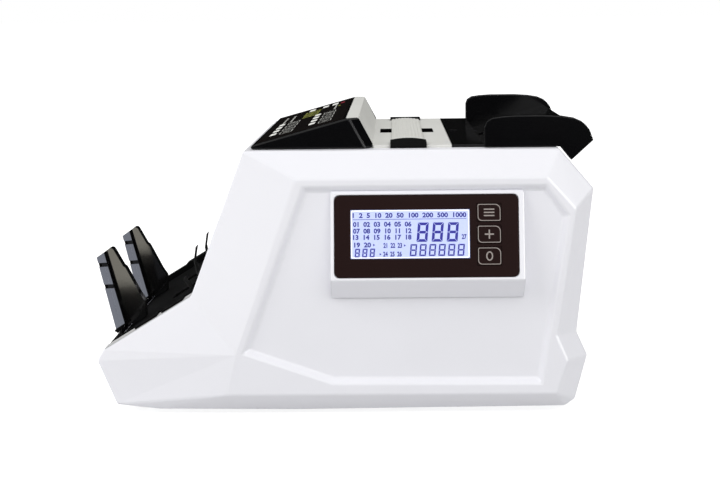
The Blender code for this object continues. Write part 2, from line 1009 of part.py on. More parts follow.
def frame_plate(name, side):
    """A side frame with a raised bearing round each turning shaft."""
    base_z = pan_drop + pan_wall + seat_gap
    flange_z = pan_drop + pan_flange + seat_gap
    low_front_y = pan_front_share * cover_depth + pan_wall + seat_gap
    low_rear_y = pan_rear_share * cover_depth - pan_wall - seat_gap
    ear_z = pickup_place[1] + frame_ear
    border = [
        frame_outline[TOP_FRONT],
        (pickup_place[0] - frame_ear_run - frame_ear, frame_outline[TOP_FRONT][1]),
        (pickup_place[0] - frame_ear_run, ear_z),
        (pickup_place[0] + frame_ear, ear_z),
        frame_outline[REAR_UPPER],
        frame_outline[REAR_WAIST],
        frame_outline[REAR_HEEL],
        (low_rear_y, flange_z),
        (low_rear_y, base_z),
        (low_front_y, base_z),
        (low_front_y, flange_z),
        frame_outline[TOE_NOSE],
        frame_outline[TOE_TOP],
        frame_outline[NOTCH],
    ]
    x = side * (frame_x + frame_wall / 2)
    made = yz_plate(name, border, frame_wall, x, machine, steel("frame_steel"))
    bosses = (frame_x + frame_wall / 2, bearing_outer_x, bearing_radius, bearing_places)
    fuse(made, frame_discs(name + "_bearings", side, *bosses))
    past = (frame_x - overrun, bearing_outer_x + overrun)
    cut(made, frame_discs(name + "_bores", side, *past, shaft_radius + running_gap, bearing_places))
    cut(made, frame_discs(name + "_seat", side, *past, shaft_radius + seat_gap, [retard_place]))
    if side < 0:
        cut(made, frame_discs("motor_hole", side, *past, motor_hole_radius, [motor_place]))
    return made


def tie_rod():
    reach = frame_x - seat_gap
    profile = rod_profile(reach, -reach, rod_radius)
    place = (0, *cover_point(rod_place_share))
    return turned("tie_rod", [profile], small_steps, place, ALONG_X, machine, steel("rod_steel"))


frame_plate("frame_left", -1)
frame_plate("frame_right", 1)
tie_rod()


# Shafts, tyres, pinch rollers and pulleys


def shaft_profile(ends, steps):
    """A shaft between two ends, with steps given as (centre, width, radius), upwards."""
    low, high = ends
    points = [(low, 0)]
    reached = low
    for centre, width, radius in steps:
        start, end = centre - width / 2, centre + width / 2
        if start > reached + seat_gap:
            points += [(reached, shaft_radius), (start, shaft_radius)]
        points += [(start, radius), (end, radius)]
        reached = end
    points += [(reached, shaft_radius), (high, shaft_radius), (high, 0)]
    return points[::-1]


def grooved_steps(centre_x, width, radius, grooves):
    """A pair of tyres, each split by narrow grooves, as steps from left to right."""
    steps = []
    land = (width - grooves * tyre_groove_width) / (grooves + 1)
    pitch = land + tyre_groove_width
    for side in SIDES:
        start = side * centre_x - width / 2
        for k in range(grooves + 1):
            steps.append((start + land / 2 + k * pitch, land, radius))
            if k < grooves:
                floor = radius - tyre_groove_depth
                groove_x = start + land + tyre_groove_width / 2 + k * pitch
                steps.append((groove_x, tyre_groove_width, floor))
    return steps


def shaft(name, place, ends, steps, material, segments=fine_steps):
    """A turned shaft, with its tyres and pulleys, on an empty that is its axis."""
    axis = empty(name + "_axis", (0, *place), (0, 0, 0), machine)
    profile = shaft_profile(ends, steps)
    turned(name, [profile], segments, (0, 0, 0), ALONG_X, axis, material)
    return axis


short_end = bearing_outer_x + seat_gap
long_end = belt_x + pulley_width / 2 + shaft_stub
shaft(
    "transport_roller",
    transport_place,
    (-long_end, long_end),
    [
        (-belt_x, pulley_width, transport_drive_radius),
        *grooved_steps(tyre_x, tyre_width, transport_radius, 0),
        (encoder_x, encoder_wall, encoder_radius),
        (belt_x, pulley_width, transport_exit_radius),
    ],
    rubber("tyre_rubber"),
)
shaft(
    "exit_roller",
    exit_place,
    (-short_end, long_end),
    [
        *grooved_steps(tyre_x, tyre_width, exit_radius, 0),
        (belt_x, pulley_width, exit_pulley_radius),
    ],
    rubber("tyre_rubber"),
)
shaft(
    "feed_roller",
    feed_place,
    (-long_end, long_end),
    [
        (-belt_x, pulley_width, feed_pulley_radius),
        *grooved_steps(feed_x, feed_width, feed_radius, 2),
        (belt_x, pulley_width, pickup_drive_radius),
    ],
    rubber("tyre_rubber"),
)
shaft(
    "pickup_roller",
    pickup_place,
    (-short_end, long_end),
    [
        *grooved_steps(pickup_x, pickup_width, pickup_radius, 0),
        (belt_x, pulley_width, pickup_pulley_radius),
    ],
    rubber("tyre_rubber"),
)
stacker_axis = shaft(
    "stacker_shaft",
    wheel_place,
    (-short_end, long_end),
    [(belt_x, pulley_width, stacker_pulley_radius)],
    steel("shaft_steel"),
    plain_steps,
)
shaft(
    "transport_pinch_roller",
    transport_pinch_place,
    (-short_end, short_end),
    grooved_steps(tyre_x, pinch_width, transport_pinch_radius, 0),
    steel("shaft_steel"),
    plain_steps,
)
shaft(
    "exit_pinch_roller",
    exit_pinch_place,
    (-short_end, short_end),
    grooved_steps(tyre_x, pinch_width, exit_pinch_radius, 0),
    steel("shaft_steel"),
    plain_steps,
)
shaft(
    "retard_roller",
    retard_place,
    (-frame_outer_x, frame_outer_x),
    grooved_steps(feed_x, feed_width, retard_radius, 0),
    rubber("tyre_rubber"),
    plain_steps,
)


# Stacker wheels: thin blades swept back from a hub, so that a note slips in between


def blade_side(centre_angle, half_root, half_tip, lean):
    """Points up one side of a blade, from the hub to the tip."""
    points = []
    for k in range(blade_steps + 1):
        share = k / blade_steps
        radius = wheel_hub_radius + (wheel_radius - wheel_hub_radius) * share
        half = half_root + (half_tip - half_root) * share
        angle = centre_angle - blade_sweep * share**1.3 + lean * half / radius
        points.append((radius * math.cos(angle), radius * math.sin(angle)))
    return points


def wheel_outline():
    points = []
    for k in range(blade_count):
        angle = 2 * math.pi * k / blade_count
        leading = blade_side(angle, blade_root / 2, blade_tip / 2, -1)
        trailing = blade_side(angle, blade_root / 2, blade_tip / 2, 1)
        points += leading + trailing[::-1]
        middle = angle + math.pi / blade_count
        points.append(
            (wheel_hub_radius * math.cos(middle), wheel_hub_radius * math.sin(middle))
        )
    return points


def stacker_wheel(name, side):
    bore = circle(shaft_radius + seat_gap, (0, 0), small_steps)
    x = side * wheel_x
    made = yz_plate(
        name, wheel_outline(), wheel_width, x, stacker_axis, rubber("wheel_rubber"), [bore]
    )
    shade_round(made)


stacker_wheel("stacker_wheel_left", -1)
stacker_wheel("stacker_wheel_right", 1)


# Motor, its shaft and the belts


def drive_motor():
    inner = -(frame_x - seat_gap)
    far = inner + motor_length
    bore = shaft_radius + running_gap
    profile = [
        (far + motor_boss, 0),
        (far + motor_boss, motor_boss_radius),
        (far, motor_boss_radius),
        (far, motor_radius - motor_can_step),
        (far - motor_can_step, motor_radius),
        (inner, motor_radius),
        (inner, bore),
        (inner + motor_bore_depth, bore),
        (inner + motor_bore_depth, 0),
    ]
    place = (0, *motor_place)
    made = turned(
        "drive_motor", [profile], fine_steps, place, ALONG_X, machine, steel("motor_zinc")
    )
    # The motor stands on a block that reaches down to the base pan.
    floor_z = pan_drop + pan_wall + seat_gap
    top_z_of_foot = motor_place[1] - motor_radius / 2
    size = (motor_foot_height, motor_radius, top_z_of_foot - floor_z)
    middle = (inner + motor_length / 2, motor_place[0], (floor_z + top_z_of_foot) / 2)
    fuse(made, box("motor_foot", size, middle, machine))
    return made


def belt_loop(pulleys, extra, flats):
    """The line of a belt round its pulleys, listed counter-clockwise as (place, radius)."""
    count = len(pulleys)
    normals = []
    for i, (place, radius) in enumerate(pulleys):
        next_place, next_radius = pulleys[(i + 1) % count]
        run = Vector(next_place) - Vector(place)
        heading = math.atan2(run.y, run.x)
        normals.append(heading - math.acos((radius - next_radius) / run.length))
    points = []
    for i, (place, radius) in enumerate(pulleys):
        start = normals[i - 1]
        sweep = (normals[i] - start) % (2 * math.pi)
        stretch = 1 / math.cos(sweep / belt_steps / 2) if flats else 1
        reach = (radius + extra) * stretch
        for k in range(belt_steps + 1):
            angle = start + sweep * k / belt_steps
            points.append((place[0] + reach * math.cos(angle), place[1] + reach * math.sin(angle)))
    return points


def belt(name, pulleys, side):
    """A flat belt whose inner flats keep the seat gap to its pulleys."""
    outer = belt_loop(pulleys, 2 * seat_gap + belt_wall, False)
    inner = belt_loop(pulleys, seat_gap, True)
    x = side * belt_x
    made = yz_plate(name, outer, belt_width, x, machine, rubber("belt_rubber"), [inner])
    shade_round(made)


drive_motor()
shaft(
    "motor_pulley",
    motor_place,
    (-long_end, -(frame_x - motor_bore_depth / 2)),
    [(-belt_x, pulley_width, motor_pulley_radius)],
    steel("shaft_steel"),
    plain_steps,
)
belt(
    "main_drive_belt",
    (
        (motor_place, motor_pulley_radius),
        (feed_place, feed_pulley_radius),
        (transport_place, transport_drive_radius),
    ),
    -1,
)
belt(
    "pickup_drive_belt",
    ((feed_place, pickup_drive_radius), (pickup_place, pickup_pulley_radius)),
    1,
)
belt(
    "stacker_drive_belt",
    (
        (transport_place, transport_exit_radius),
        (exit_place, exit_pulley_radius),
        (wheel_place, stacker_pulley_radius),
    ),
    1,
)


# Note guides, with slots where the rollers reach through


def guide_sheet(name, line, thickness, rollers):
    span = 2 * (frame_x - guide_side_gap)
    made = yz_plate(name, sheet_outline(line, thickness), span, 0, machine, steel("guide_steel"))
    for place, radius, centre_x, width in rollers:
        for side in SIDES:
            size = (width + 2 * guide_slot_gap, 2 * (radius + guide_slot_gap), 2 * radius)
            spot = (side * centre_x, *place)
            cut(made, box(name + "_slot", size, spot, machine))
    return made


def note_guides():
    path_z = transport_place[1] + transport_radius + note_gap / 2
    exit_y = exit_place[0] - guide_lead
    bend_y = feed_place[0] - feed_radius - guide_bend_back
    lip_y = feed_place[0] - feed_radius - guide_throat
    lip_z = feed_place[1]
    low = path_z - guide_throat / 2
    turn_y = lip_y - guide_lead
    lower = [(exit_y, low), (turn_y, low), (turn_y + guide_turn_run, low + guide_turn_rise)]
    upper = [
        (exit_y, low + guide_space + guide_wall),
        (bend_y, low + guide_space + guide_wall),
        (lip_y, low + guide_rise + guide_bend_back),
        (lip_y, lip_z),
    ]
    guide_sheet(
        "lower_note_guide",
        lower,
        -guide_wall,
        (
            (transport_place, transport_radius, tyre_x, tyre_width),
            (exit_place, exit_radius, tyre_x, tyre_width),
        ),
    )
    guide_sheet(
        "upper_note_guide",
        upper,
        guide_wall,
        (
            (transport_pinch_place, transport_pinch_radius, tyre_x, pinch_width),
            (exit_pinch_place, exit_pinch_radius, tyre_x, pinch_width),
        ),
    )


note_guides()


# Control hump, its panel, keys and board


def control_housing():
    made = yz_plate(
        "control_housing", hump_outline, 2 * hump_x, 0, machine, black_gloss("black_gloss_abs")
    )
    chamfer(made, hump_rear_chamfer, hump_outline[3:])
    soften(made, hump_bevel)
    hollow = offset_line(hump_outline, -hump_wall, closed=True)
    hollow[0] = (hollow[0][0], hump_outline[0][1] - overrun)
    hollow[-1] = (hollow[-1][0], hump_outline[-1][1] - overrun)
    inner_span = 2 * (hump_x - hump_wall)
    hump_hollow = yz_plate("hump_hollow", hollow, inner_span, 0, machine, None)
    chamfer(hump_hollow, hump_rear_chamfer, hollow[3:])
    cut(made, hump_hollow)
    # The grey top cover fills the hump's rear between two cheeks.
    rear_from = hump_front_y + hump_depth * top_ridge_share
    size = (2 * (hump_x - hump_cheek), hump_depth, 2 * hump_height + 2 * overrun)
    middle = (0, rear_from + hump_depth / 2, hump_base_z + hump_height / 2)
    cut(made, box("hump_rear_gap", size, middle, machine))
    pocket = (overlay_width + 2 * seat_gap, overlay_length + 2 * seat_gap, 2 * (overlay_wall + seat_gap))
    cut(made, box("overlay_pocket", pocket, (0, 0, 0), panel))
    through = (
        overlay_width - 2 * overlay_side_ledge,
        overlay_length - 2 * overlay_ledge,
        2 * (hump_wall + overrun),
    )
    cut(made, box("overlay_opening", through, (0, 0, 0), panel))
    for side_x in SIDES:
        for side_y in SIDES:
            x = side_x * (board_width / 2 - hump_boss_radius)
            top, base = -(overlay_wall + hump_wall) / 2, -(board_depth - seat_gap)
            boss = turned(
                "board_boss",
                [rod_profile(top, base, hump_boss_radius)],
                small_steps,
                (x, side_y * hump_boss_y, 0),
                (0, 0, 0),
                panel,
                None,
            )
            fuse(made, boss)
    return made


def key_cap(name, holder, place, width, height, board_top, material):
    """A key with a flange that holds it under its panel and a stem down to its switch."""
    axis = empty(name + "_axis", (*place, 0), (0, 0, 0), holder)
    flange_top = -(overlay_wall + seat_gap)
    flange_base = flange_top - key_flange_wall
    stem_base = -(board_top - key_travel - seat_gap)
    cap_size = (width, height, key_proud - flange_base)
    made = box(name, cap_size, (0, 0, (key_proud + flange_base) / 2), axis, material)
    flange_size = (width + 2 * key_flange, height + 2 * key_flange, key_flange_wall)
    fuse(made, box(name + "_flange", flange_size, (0, 0, (flange_top + flange_base) / 2), axis))
    stem_size = (key_stem_width, key_stem_width, flange_top - stem_base)
    fuse(made, box(name + "_stem", stem_size, (0, 0, (flange_top + stem_base) / 2), axis))
    return made


def window_block(name, holder, size, place, body_base, extra, material):
    """A display whose face fills the window in its panel, on a wider body behind."""
    width, height = size
    top = -window_sink
    shelf = -(overlay_wall + seat_gap)
    face_size = (width - 2 * seat_gap, height - 2 * seat_gap, top - body_base)
    made = box(name, face_size, (*place, (top + body_base) / 2), holder, material)
    body_size = (width + extra, height + extra, shelf - body_base)
    fuse(made, box(name + "_body", body_size, (*place, (shelf + body_base) / 2), holder))
    return made


panel = empty(
    "control_panel_face", (0, *slope_centre), (slope_angle, 0, 0), machine
)
control_housing()

front_key_places = [
    (front_key_first_x + column * front_key_pitch, row)
    for row in front_key_rows_y
    for column in range(front_key_columns)
]
front_key_hole = (front_key_width + 2 * seat_gap, front_key_height + 2 * seat_gap)
front_holes = [rectangle(*front_key_hole, spot) for spot in front_key_places]
front_holes.append(
    rectangle(front_window_width, front_window_height, (front_window_x, front_window_y))
)
plate(
    "control_overlay",
    rectangle(overlay_width, overlay_length),
    overlay_wall,
    (0, 0, -overlay_wall / 2),
    (0, 0, 0),
    panel,
    finish("overlay_black", (0.010, 0.009, 0.009), 0.25),
    front_holes,
)
for number, spot in enumerate(front_key_places, start=1):
    key_cap(
        "front_key_" + str(number),
        panel,
        spot,
        front_key_width,
        front_key_height,
        board_depth,
        finish("key_white", (0.80, 0.80, 0.78), 0.45),
    )
front_module = window_block(
    "control_board",
    panel,
    (front_window_width, front_window_height),
    (front_window_x, front_window_y),
    -(board_depth + board_wall / 2),
    2 * key_flange,
    finish("board_green", (0.02, 0.16, 0.06), 0.5),
)
board_size = (board_width, board_length, board_wall)
fuse(
    front_module,
    box("control_board_sheet", board_size, (0, 0, -(board_depth + board_wall / 2)), panel),
)


# Light-grey top cover, finger well, strap and end caps


def top_cover():
    ridge_z = hump_base_z + hump_height
    line = [
        (hump_front_y + hump_depth * top_ridge_share + seat_gap, ridge_z),
        (hump_front_y + hump_depth * top_ridge_rear_share, ridge_z),
        (hump_front_y + hump_depth * top_foot_share, top_z),
        (deck_front_y, top_z),
    ]
    sheet = sheet_outline(line, -top_wall)
    made = yz_plate("top_cover", sheet, panel_span, 0, machine, grey_shell("grey_abs"))
    # Beside the hump's cheeks the cover is narrower.
    for side in SIDES:
        inner = hump_x - hump_cheek - top_side_gap
        size = (2 * hump_cheek, 2 * hump_depth, 2 * (hump_height + hump_depth))
        place = (
            side * (inner + hump_cheek),
            hump_rear_y + seat_gap - hump_depth,
            top_z,
        )
        cut(made, box("cheek_space", size, place, machine))
    cut(made, box("well_hole", (well_width, well_length, 2 * overrun), (0, well_y, top_z), machine))
    return made


def finger_well():
    top = top_z - top_wall - seat_gap
    outer = (well_width + 2 * well_wall, well_length + 2 * well_wall, well_depth)
    made = box(
        "finger_well",
        outer,
        (0, well_y, top - well_depth / 2),
        machine,
        black_gloss("black_gloss_abs"),
    )
    inner = (well_width, well_length, well_depth)
    cut(made, box("well_hollow", inner, (0, well_y, top - well_depth / 2 + well_wall), machine))
    return made


def crown_outline(width, base_z, edge_z, crown, steps):
    """A flat base and a low arched top, drawn as width across Y and height along Z."""
    points = [(well_y - width / 2, base_z), (well_y + width / 2, base_z)]
    for k in range(steps + 1):
        across = 1 - 2 * k / steps
        points.append((well_y + across * width / 2, edge_z + crown * (1 - across * across)))
    return points


def carry_strap():
    """A flexible strap with fine ribs along its length."""
    base_z = top_z + seat_gap
    edge_z = base_z + strap_edge
    points = [(well_y - strap_width / 2, base_z), (well_y + strap_width / 2, base_z)]
    marks = 2 * rib_count
    for k in range(marks + 1):
        across = 1 - 2 * k / marks
        lift = rib_height if k % 2 == 1 else 0
        height = edge_z + strap_crown * (1 - across * across) + lift
        points.append((well_y + across * strap_width / 2, height))
    return yz_plate("carry_strap", points, strap_length, 0, machine, grey_shell("strap_grey"))


def strap_end_cap(name, side):
    """A cap clamps a strap end, slopes down to the seam and hooks over it."""
    width = strap_width + 2 * cap_side
    hook_z = cover_height + seat_gap
    seat_z = top_z + seat_gap
    edge_z = seat_z + strap_edge + cap_over
    shoulder_z = seat_z + cap_shoulder
    tip_z = hook_z + cap_hook_wall
    high_z = edge_z + strap_crown + overrun
    inner = strap_length / 2 + seat_gap
    outer = seam_x + cap_hook
    shape = crown_outline(width, hook_z, edge_z, strap_crown, cap_steps)
    middle = side * (inner + outer) / 2
    made = yz_plate(name, shape, outer - inner, middle, machine, black_gloss("black_gloss_abs"))
    # Drawn as distance from the middle of the machine and height.
    above = [
        (inner + cap_flat, high_z),
        (inner + cap_flat, edge_z + strap_crown),
        (seam_x, shoulder_z),
        (outer + overrun, tip_z - (shoulder_z - tip_z) * overrun / cap_hook),
        (outer + overrun, high_z),
    ]
    below = [
        (inner - overrun, seat_z),
        (seam_x + seat_gap, seat_z),
        (seam_x + seat_gap, hook_z - overrun),
        (inner - overrun, hook_z - overrun),
    ]
    for part, points in (("_slope", above), ("_seat", below)):
        turned_points = [(side * x, z) for x, z in points]
        place = (0, well_y, 0)
        cut(made, plate(name + part, turned_points, 2 * width, place, FLAT_XZ, machine, None))
    soften(made, cap_bevel)
    return made


well_y = hump_rear_y + well_setback + well_length / 2
top_cover()
finger_well()
carry_strap()
strap_end_cap("strap_cap_left", -1)
strap_end_cap("strap_cap_right", 1)


# Hopper tray, its wings and the gap screw in the deck


def hopper_tray():
    line = [
        (deck_front_y + seat_gap, top_z),
        (hopper_front_y, top_z),
        floor_front,
        floor_rear,
        (floor_rear[0] + hopper_lip_run, floor_rear[1] - hopper_lip_drop),
        (
            floor_rear[0] + hopper_lip_run - hopper_hem_run,
            floor_rear[1] - hopper_lip_drop - hopper_hem_drop,
        ),
    ]
    sheet = sheet_outline(line, -hopper_wall)
    made = yz_plate("hopper_tray", sheet, panel_span, 0, machine, black_gloss("black_gloss_abs"))
    fuse(made, hopper_wing("wing_left", -1))
    fuse(made, hopper_wing("wing_right", 1))
    for side in SIDES:
        size = (
            pickup_width + 2 * pickup_slot_gap,
            2 * pickup_radius,
            2 * (pickup_radius + pickup_slot_gap),
        )
        place = (side * pickup_x, *pickup_place)
        cut(made, box("pickup_slot", size, place, machine))
    slot_height = feed_slot_rise + feed_slot_drop
    size = (2 * feed_slot_x, 2 * feed_slot_back, slot_height)
    place = (
        0,
        floor_front[0] + seat_gap - feed_slot_back,
        floor_front[1] + feed_slot_rise - slot_height / 2,
    )
    cut(made, box("feed_slot", size, place, machine))
    hole = turned(
        "screw_hole",
        [rod_profile(overrun, -overrun, screw_head_radius + seat_gap)],
        plain_steps,
        (0, retard_place[0], top_z),
        (0, 0, 0),
        machine,
        None,
    )
    cut(made, hole)
    return made


def hopper_wing(name, side):
    """A raised side wall above the cover, with a skirt down to the hopper floor."""
    base_z = cover_height + seat_gap
    points = [
        (hopper_front_y + wing_length * run, base_z + wing_height * rise)
        for run, rise in wing_outline_shares
    ]
    inner = seam_x - seat_gap - wing_lap
    outer = seam_x + wing_wall
    wing = yz_plate(name, points, outer - inner, side * (inner + outer) / 2, machine, None)
    soften(wing, wing_bevel)
    sink = hopper_wall / 2
    skirt_z = base_z + wing_height * skirt_rise_share
    skirt_low_z = floor_front[1] - sink
    skirt = [
        (hopper_front_y, top_z - sink),
        (floor_front[0], skirt_low_z),
        (floor_front[0] + (skirt_z - skirt_low_z) / math.tan(floor_slope), skirt_z),
        (hopper_front_y + wing_wall, skirt_z),
    ]
    skirt_x = side * (seam_x - seat_gap - skirt_wall / 2)
    fuse(wing, yz_plate(name + "_skirt", skirt, skirt_wall, skirt_x, machine, None))
    return wing


def gap_screw():
    top = top_z - screw_sink
    head_base = top - screw_head_wall
    stem_base = retard_place[1] + shaft_radius + seat_gap
    axis = empty("gap_screw_axis", (0, retard_place[0], 0), (0, 0, 0), machine)
    profile = [
        (top, 0),
        (top, screw_head_radius),
        (head_base, screw_head_radius),
        (head_base, screw_stem_radius),
        (stem_base, screw_stem_radius),
        (stem_base, 0),
    ]
    made = turned(
        "gap_screw", [profile], plain_steps, (0, 0, 0), (0, 0, 0), axis, black_gloss("screw_nylon")
    )
    slot = (2 * (screw_head_radius + overrun), screw_slot, 2 * screw_slot)
    cut(made, box("screw_slot", slot, (0, 0, top), axis))
    return made


hopper_tray()
gap_screw()


# Stacker tray and fingers


def slope_point(run, lift):
    """A point at this share along the stacker's slope, lifted square to it."""
    y, z = along(toe_top, notch, run)
    return (y - lift * math.sin(tray_slope), z + lift * math.cos(tray_slope))


def stacker_tray():
    """The sloping floor, a comb behind it that the wheels reach through, and two cheeks."""
    corner, comb_head = tray_line[1:]
    line = [
        slope_point(tray_front_share, -tray_sink),
        corner,
        along(corner, comb_head, comb_rise_share),
    ]
    made = yz_plate(
        "stacker_tray",
        sheet_outline(line, -tray_wall),
        panel_span,
        0,
        machine,
        black_gloss("black_gloss_abs"),
    )
    lead_share = cheek_lead / (Vector(notch) - Vector(toe_top)).length
    cheek_x = seam_x - 2 * seat_gap - cheek_wall / 2
    cheek = [
        slope_point(cheek_front_share, -tray_sink - tray_wall / 2),
        slope_point(cheek_front_share, 0),
        slope_point(cheek_front_share + lead_share, cheek_rise),
        slope_point(tray_rear_share - lead_share, cheek_rise),
        slope_point(tray_rear_share - lead_share / 2, -tray_sink - tray_wall / 2),
    ]
    for side in SIDES:
        fuse(made, yz_plate("tray_cheek", cheek, cheek_wall, side * cheek_x, machine, None))
        for start, end in tab_length_shares:
            tab = [
                slope_point(start, seat_gap),
                slope_point(start, seat_gap + tab_wall),
                slope_point(end, seat_gap + tab_wall),
                slope_point(end, seat_gap),
            ]
            reach = cheek_wall / 2 + 2 * seat_gap + tab_reach
            x = side * (cheek_x + reach / 2)
            fuse(made, yz_plate("tray_tab", tab, reach, x, machine, None))
        slot_from = slope_point(wheel_slot_share, 0)[0]
        size = (wheel_width + 2 * slot_side_gap, wheel_radius * 2, 2 * wheel_radius)
        place = (side * wheel_x, slot_from + wheel_radius, slot_centre_z)
        cut(made, box("wheel_slot", size, place, machine))
    return made


def stacker_finger(name, side):
    """A leaning finger at the tray's front: a web behind a wider front strip."""
    front_y = toe_top[0] - finger_lead
    base_z = toe_top[1] - finger_drop
    finger_height = cover_height * finger_height_share

    def spot(share):
        return (front_y + finger_reach * share[0], base_z + finger_height * share[1])

    front_base, front_top, rear_top = [spot(share) for share in finger_front_shares]
    heel = spot(finger_heel_share)
    paper = [spot(share) for share in finger_paper_shares]
    lift = seat_gap / math.cos(tray_slope)
    foot_y = front_y + finger_reach * finger_foot_share
    strip_share = finger_strip_top / (Vector(rear_top) - Vector(front_top)).length
    foot_share = finger_strip_base / (Vector(heel) - Vector(front_base)).length
    strip = [
        front_base,
        front_top,
        along(front_top, rear_top, strip_share),
        along(front_base, heel, foot_share),
    ]
    web_top = rounded([strip[1], rear_top, paper[0]], [0, finger_round, 0])
    web = [
        along(front_base, heel, foot_share / 2),
        along(front_top, rear_top, strip_share / 2),
        *web_top[1:],
        *paper[1:],
        (paper[-1][0], tray_z(paper[-1][0]) + lift),
        (foot_y, tray_z(foot_y) + lift),
        heel,
    ]
    x = side * finger_x
    made = yz_plate(name, web, finger_web, x, machine, black_gloss("black_gloss_abs"))
    front_strip = yz_plate(name + "_strip", strip, finger_flange, x, machine, None)
    chamfer(front_strip, finger_chamfer, strip[:2])
    fuse(made, front_strip)
    lean = math.atan2(front_base[0] - front_top[0], front_top[1] - front_base[1])
    for share in finger_groove_shares:
        middle = along(front_base, front_top, share)
        size = (2 * finger_flange, 2 * finger_groove_depth, finger_groove)
        cut(made, box(name + "_groove", size, (x, *middle), machine, None, (lean, 0, 0)))
    return made


slot_centre_z = wheel_place[1]
stacker_tray()
stacker_finger("stacker_finger_left", -1)
stacker_finger("stacker_finger_right", 1)


# Main board with its transformer


def main_board():
    pan_top = pan_drop + pan_wall
    board_z = pan_top + seat_gap + standoff_height
    made = box(
        "main_board",
        (main_width, main_length, board_wall),
        (0, main_back, board_z + board_wall / 2),
        machine,
        finish("board_green", (0.02, 0.16, 0.06), 0.5),
    )
    top = board_z + board_wall
    for side_x in SIDES:
        for side_y in SIDES:
            x = side_x * (main_width / 2 - standoff_margin)
            y = main_back + side_y * (main_length / 2 - standoff_margin)
            post = rod_profile(board_z + board_wall / 2, pan_top + seat_gap, standoff_radius)
            fuse(
                made,
                turned("standoff", [post], small_steps, (x, y, 0), (0, 0, 0), machine, None),
            )
    core_y = main_back + core_back
    sunk = board_wall / 2
    core = (core_width, core_length, core_height + sunk)
    fuse(made, box("core", core, (core_x, core_y, top + (core_height - sunk) / 2), machine))
    coil = (coil_width, coil_length, coil_height + sunk)
    fuse(made, box("coil", coil, (core_x, core_y, top + (coil_height - sunk) / 2), machine))
    for side in SIDES:
        can = rod_profile(top + capacitor_height, top - sunk, capacitor_radius)
        place = (-core_x, core_y + side * capacitor_pitch / 2, 0)
        fuse(
            made,
            turned("capacitor", [can], small_steps, place, (0, 0, 0), machine, None),
        )
    return made


main_board()


# Mains inlet with its rocker switch, on the rear cover


inlet_low = inset_outline[REAR_WAIST]
inlet_high = inset_outline[REAR_UPPER]
rear_lean = math.atan2(inlet_high[0] - inlet_low[0], inlet_high[1] - inlet_low[1])
inlet_spot = along(inlet_low, inlet_high, inlet_share)
inlet_face = empty(
    "inlet_face", (inlet_x, *inlet_spot), (math.pi / 2 + rear_lean, 0, math.pi), machine
)


def power_inlet():
    flange_z = seat_gap + inlet_flange_wall / 2
    made = box(
        "power_inlet",
        (inlet_flange_width, inlet_flange_height, inlet_flange_wall),
        (0, 0, flange_z),
        inlet_face,
        black_gloss("inlet_nylon"),
    )
    body = (inlet_body_width, inlet_body_height, inlet_body_depth + inlet_flange_wall)
    body_z = (inlet_flange_wall - inlet_body_depth) / 2 + seat_gap
    fuse(made, box("inlet_body", body, (0, 0, body_z), inlet_face))
    face_z = seat_gap + inlet_flange_wall
    socket = rounded(
        rectangle(socket_width, socket_height, (0, socket_y)), (0, 0, socket_corner, socket_corner)
    )
    cut(
        made,
        plate(
            "socket",
            socket,
            2 * socket_depth,
            (0, 0, face_z),
            (0, 0, 0),
            inlet_face,
            None,
        ),
    )
    pin_z = face_z - socket_depth + pin_length / 2 - board_wall / 2
    pins = ((-pin_spread, -pin_rise), (pin_spread, -pin_rise), (0, pin_rise))
    for x, y in pins:
        size = (pin_width, pin_height, pin_length + board_wall)
        fuse(made, box("pin", size, (x, socket_y + y, pin_z), inlet_face))
    window = (rocker_width + 2 * seat_gap, rocker_height + 2 * rocker_gap, 2 * rocker_well)
    cut(made, box("rocker_window", window, (0, rocker_y, face_z), inlet_face))
    hole = (inlet_body_width + 2 * seat_gap, inlet_body_height + 2 * seat_gap, 2 * inlet_body_depth)
    cut(rear, box("inlet_hole", hole, (0, 0, 0), inlet_face))
    return made


def power_rocker():
    face_z = seat_gap + inlet_flange_wall
    axis = empty(
        "power_rocker_axis",
        (0, rocker_y, face_z - rocker_pivot),
        (rocker_tilt, 0, 0),
        inlet_face,
    )
    half = rocker_height / 2
    low_half = half - rocker_gap
    points = [
        (-half, rocker_pivot + rocker_top),
        (0, rocker_pivot + rocker_top - rocker_dip),
        (half, rocker_pivot + rocker_top),
        (low_half, rocker_pivot - rocker_depth),
        (-low_half, rocker_pivot - rocker_depth),
    ]
    return plate(
        "power_rocker",
        points,
        rocker_width,
        (0, 0, 0),
        FLAT_YZ,
        axis,
        finish("rocker_nylon", (0.02, 0.02, 0.02), 0.4),
    )


power_inlet()
power_rocker()


# Display on the right side cover: bezel, overlay, display module and three keys


display = empty(
    "side_display_face",
    (display_reach, display_y, display_z),
    (math.pi / 2 - display_tilt, 0, math.pi / 2),
    machine,
)


def face_point(up):
    """The point on the display's face at this distance above its middle, as x and z."""
    return (
        display_reach - up * math.sin(display_tilt),
        display_z + up * math.cos(display_tilt),
    )


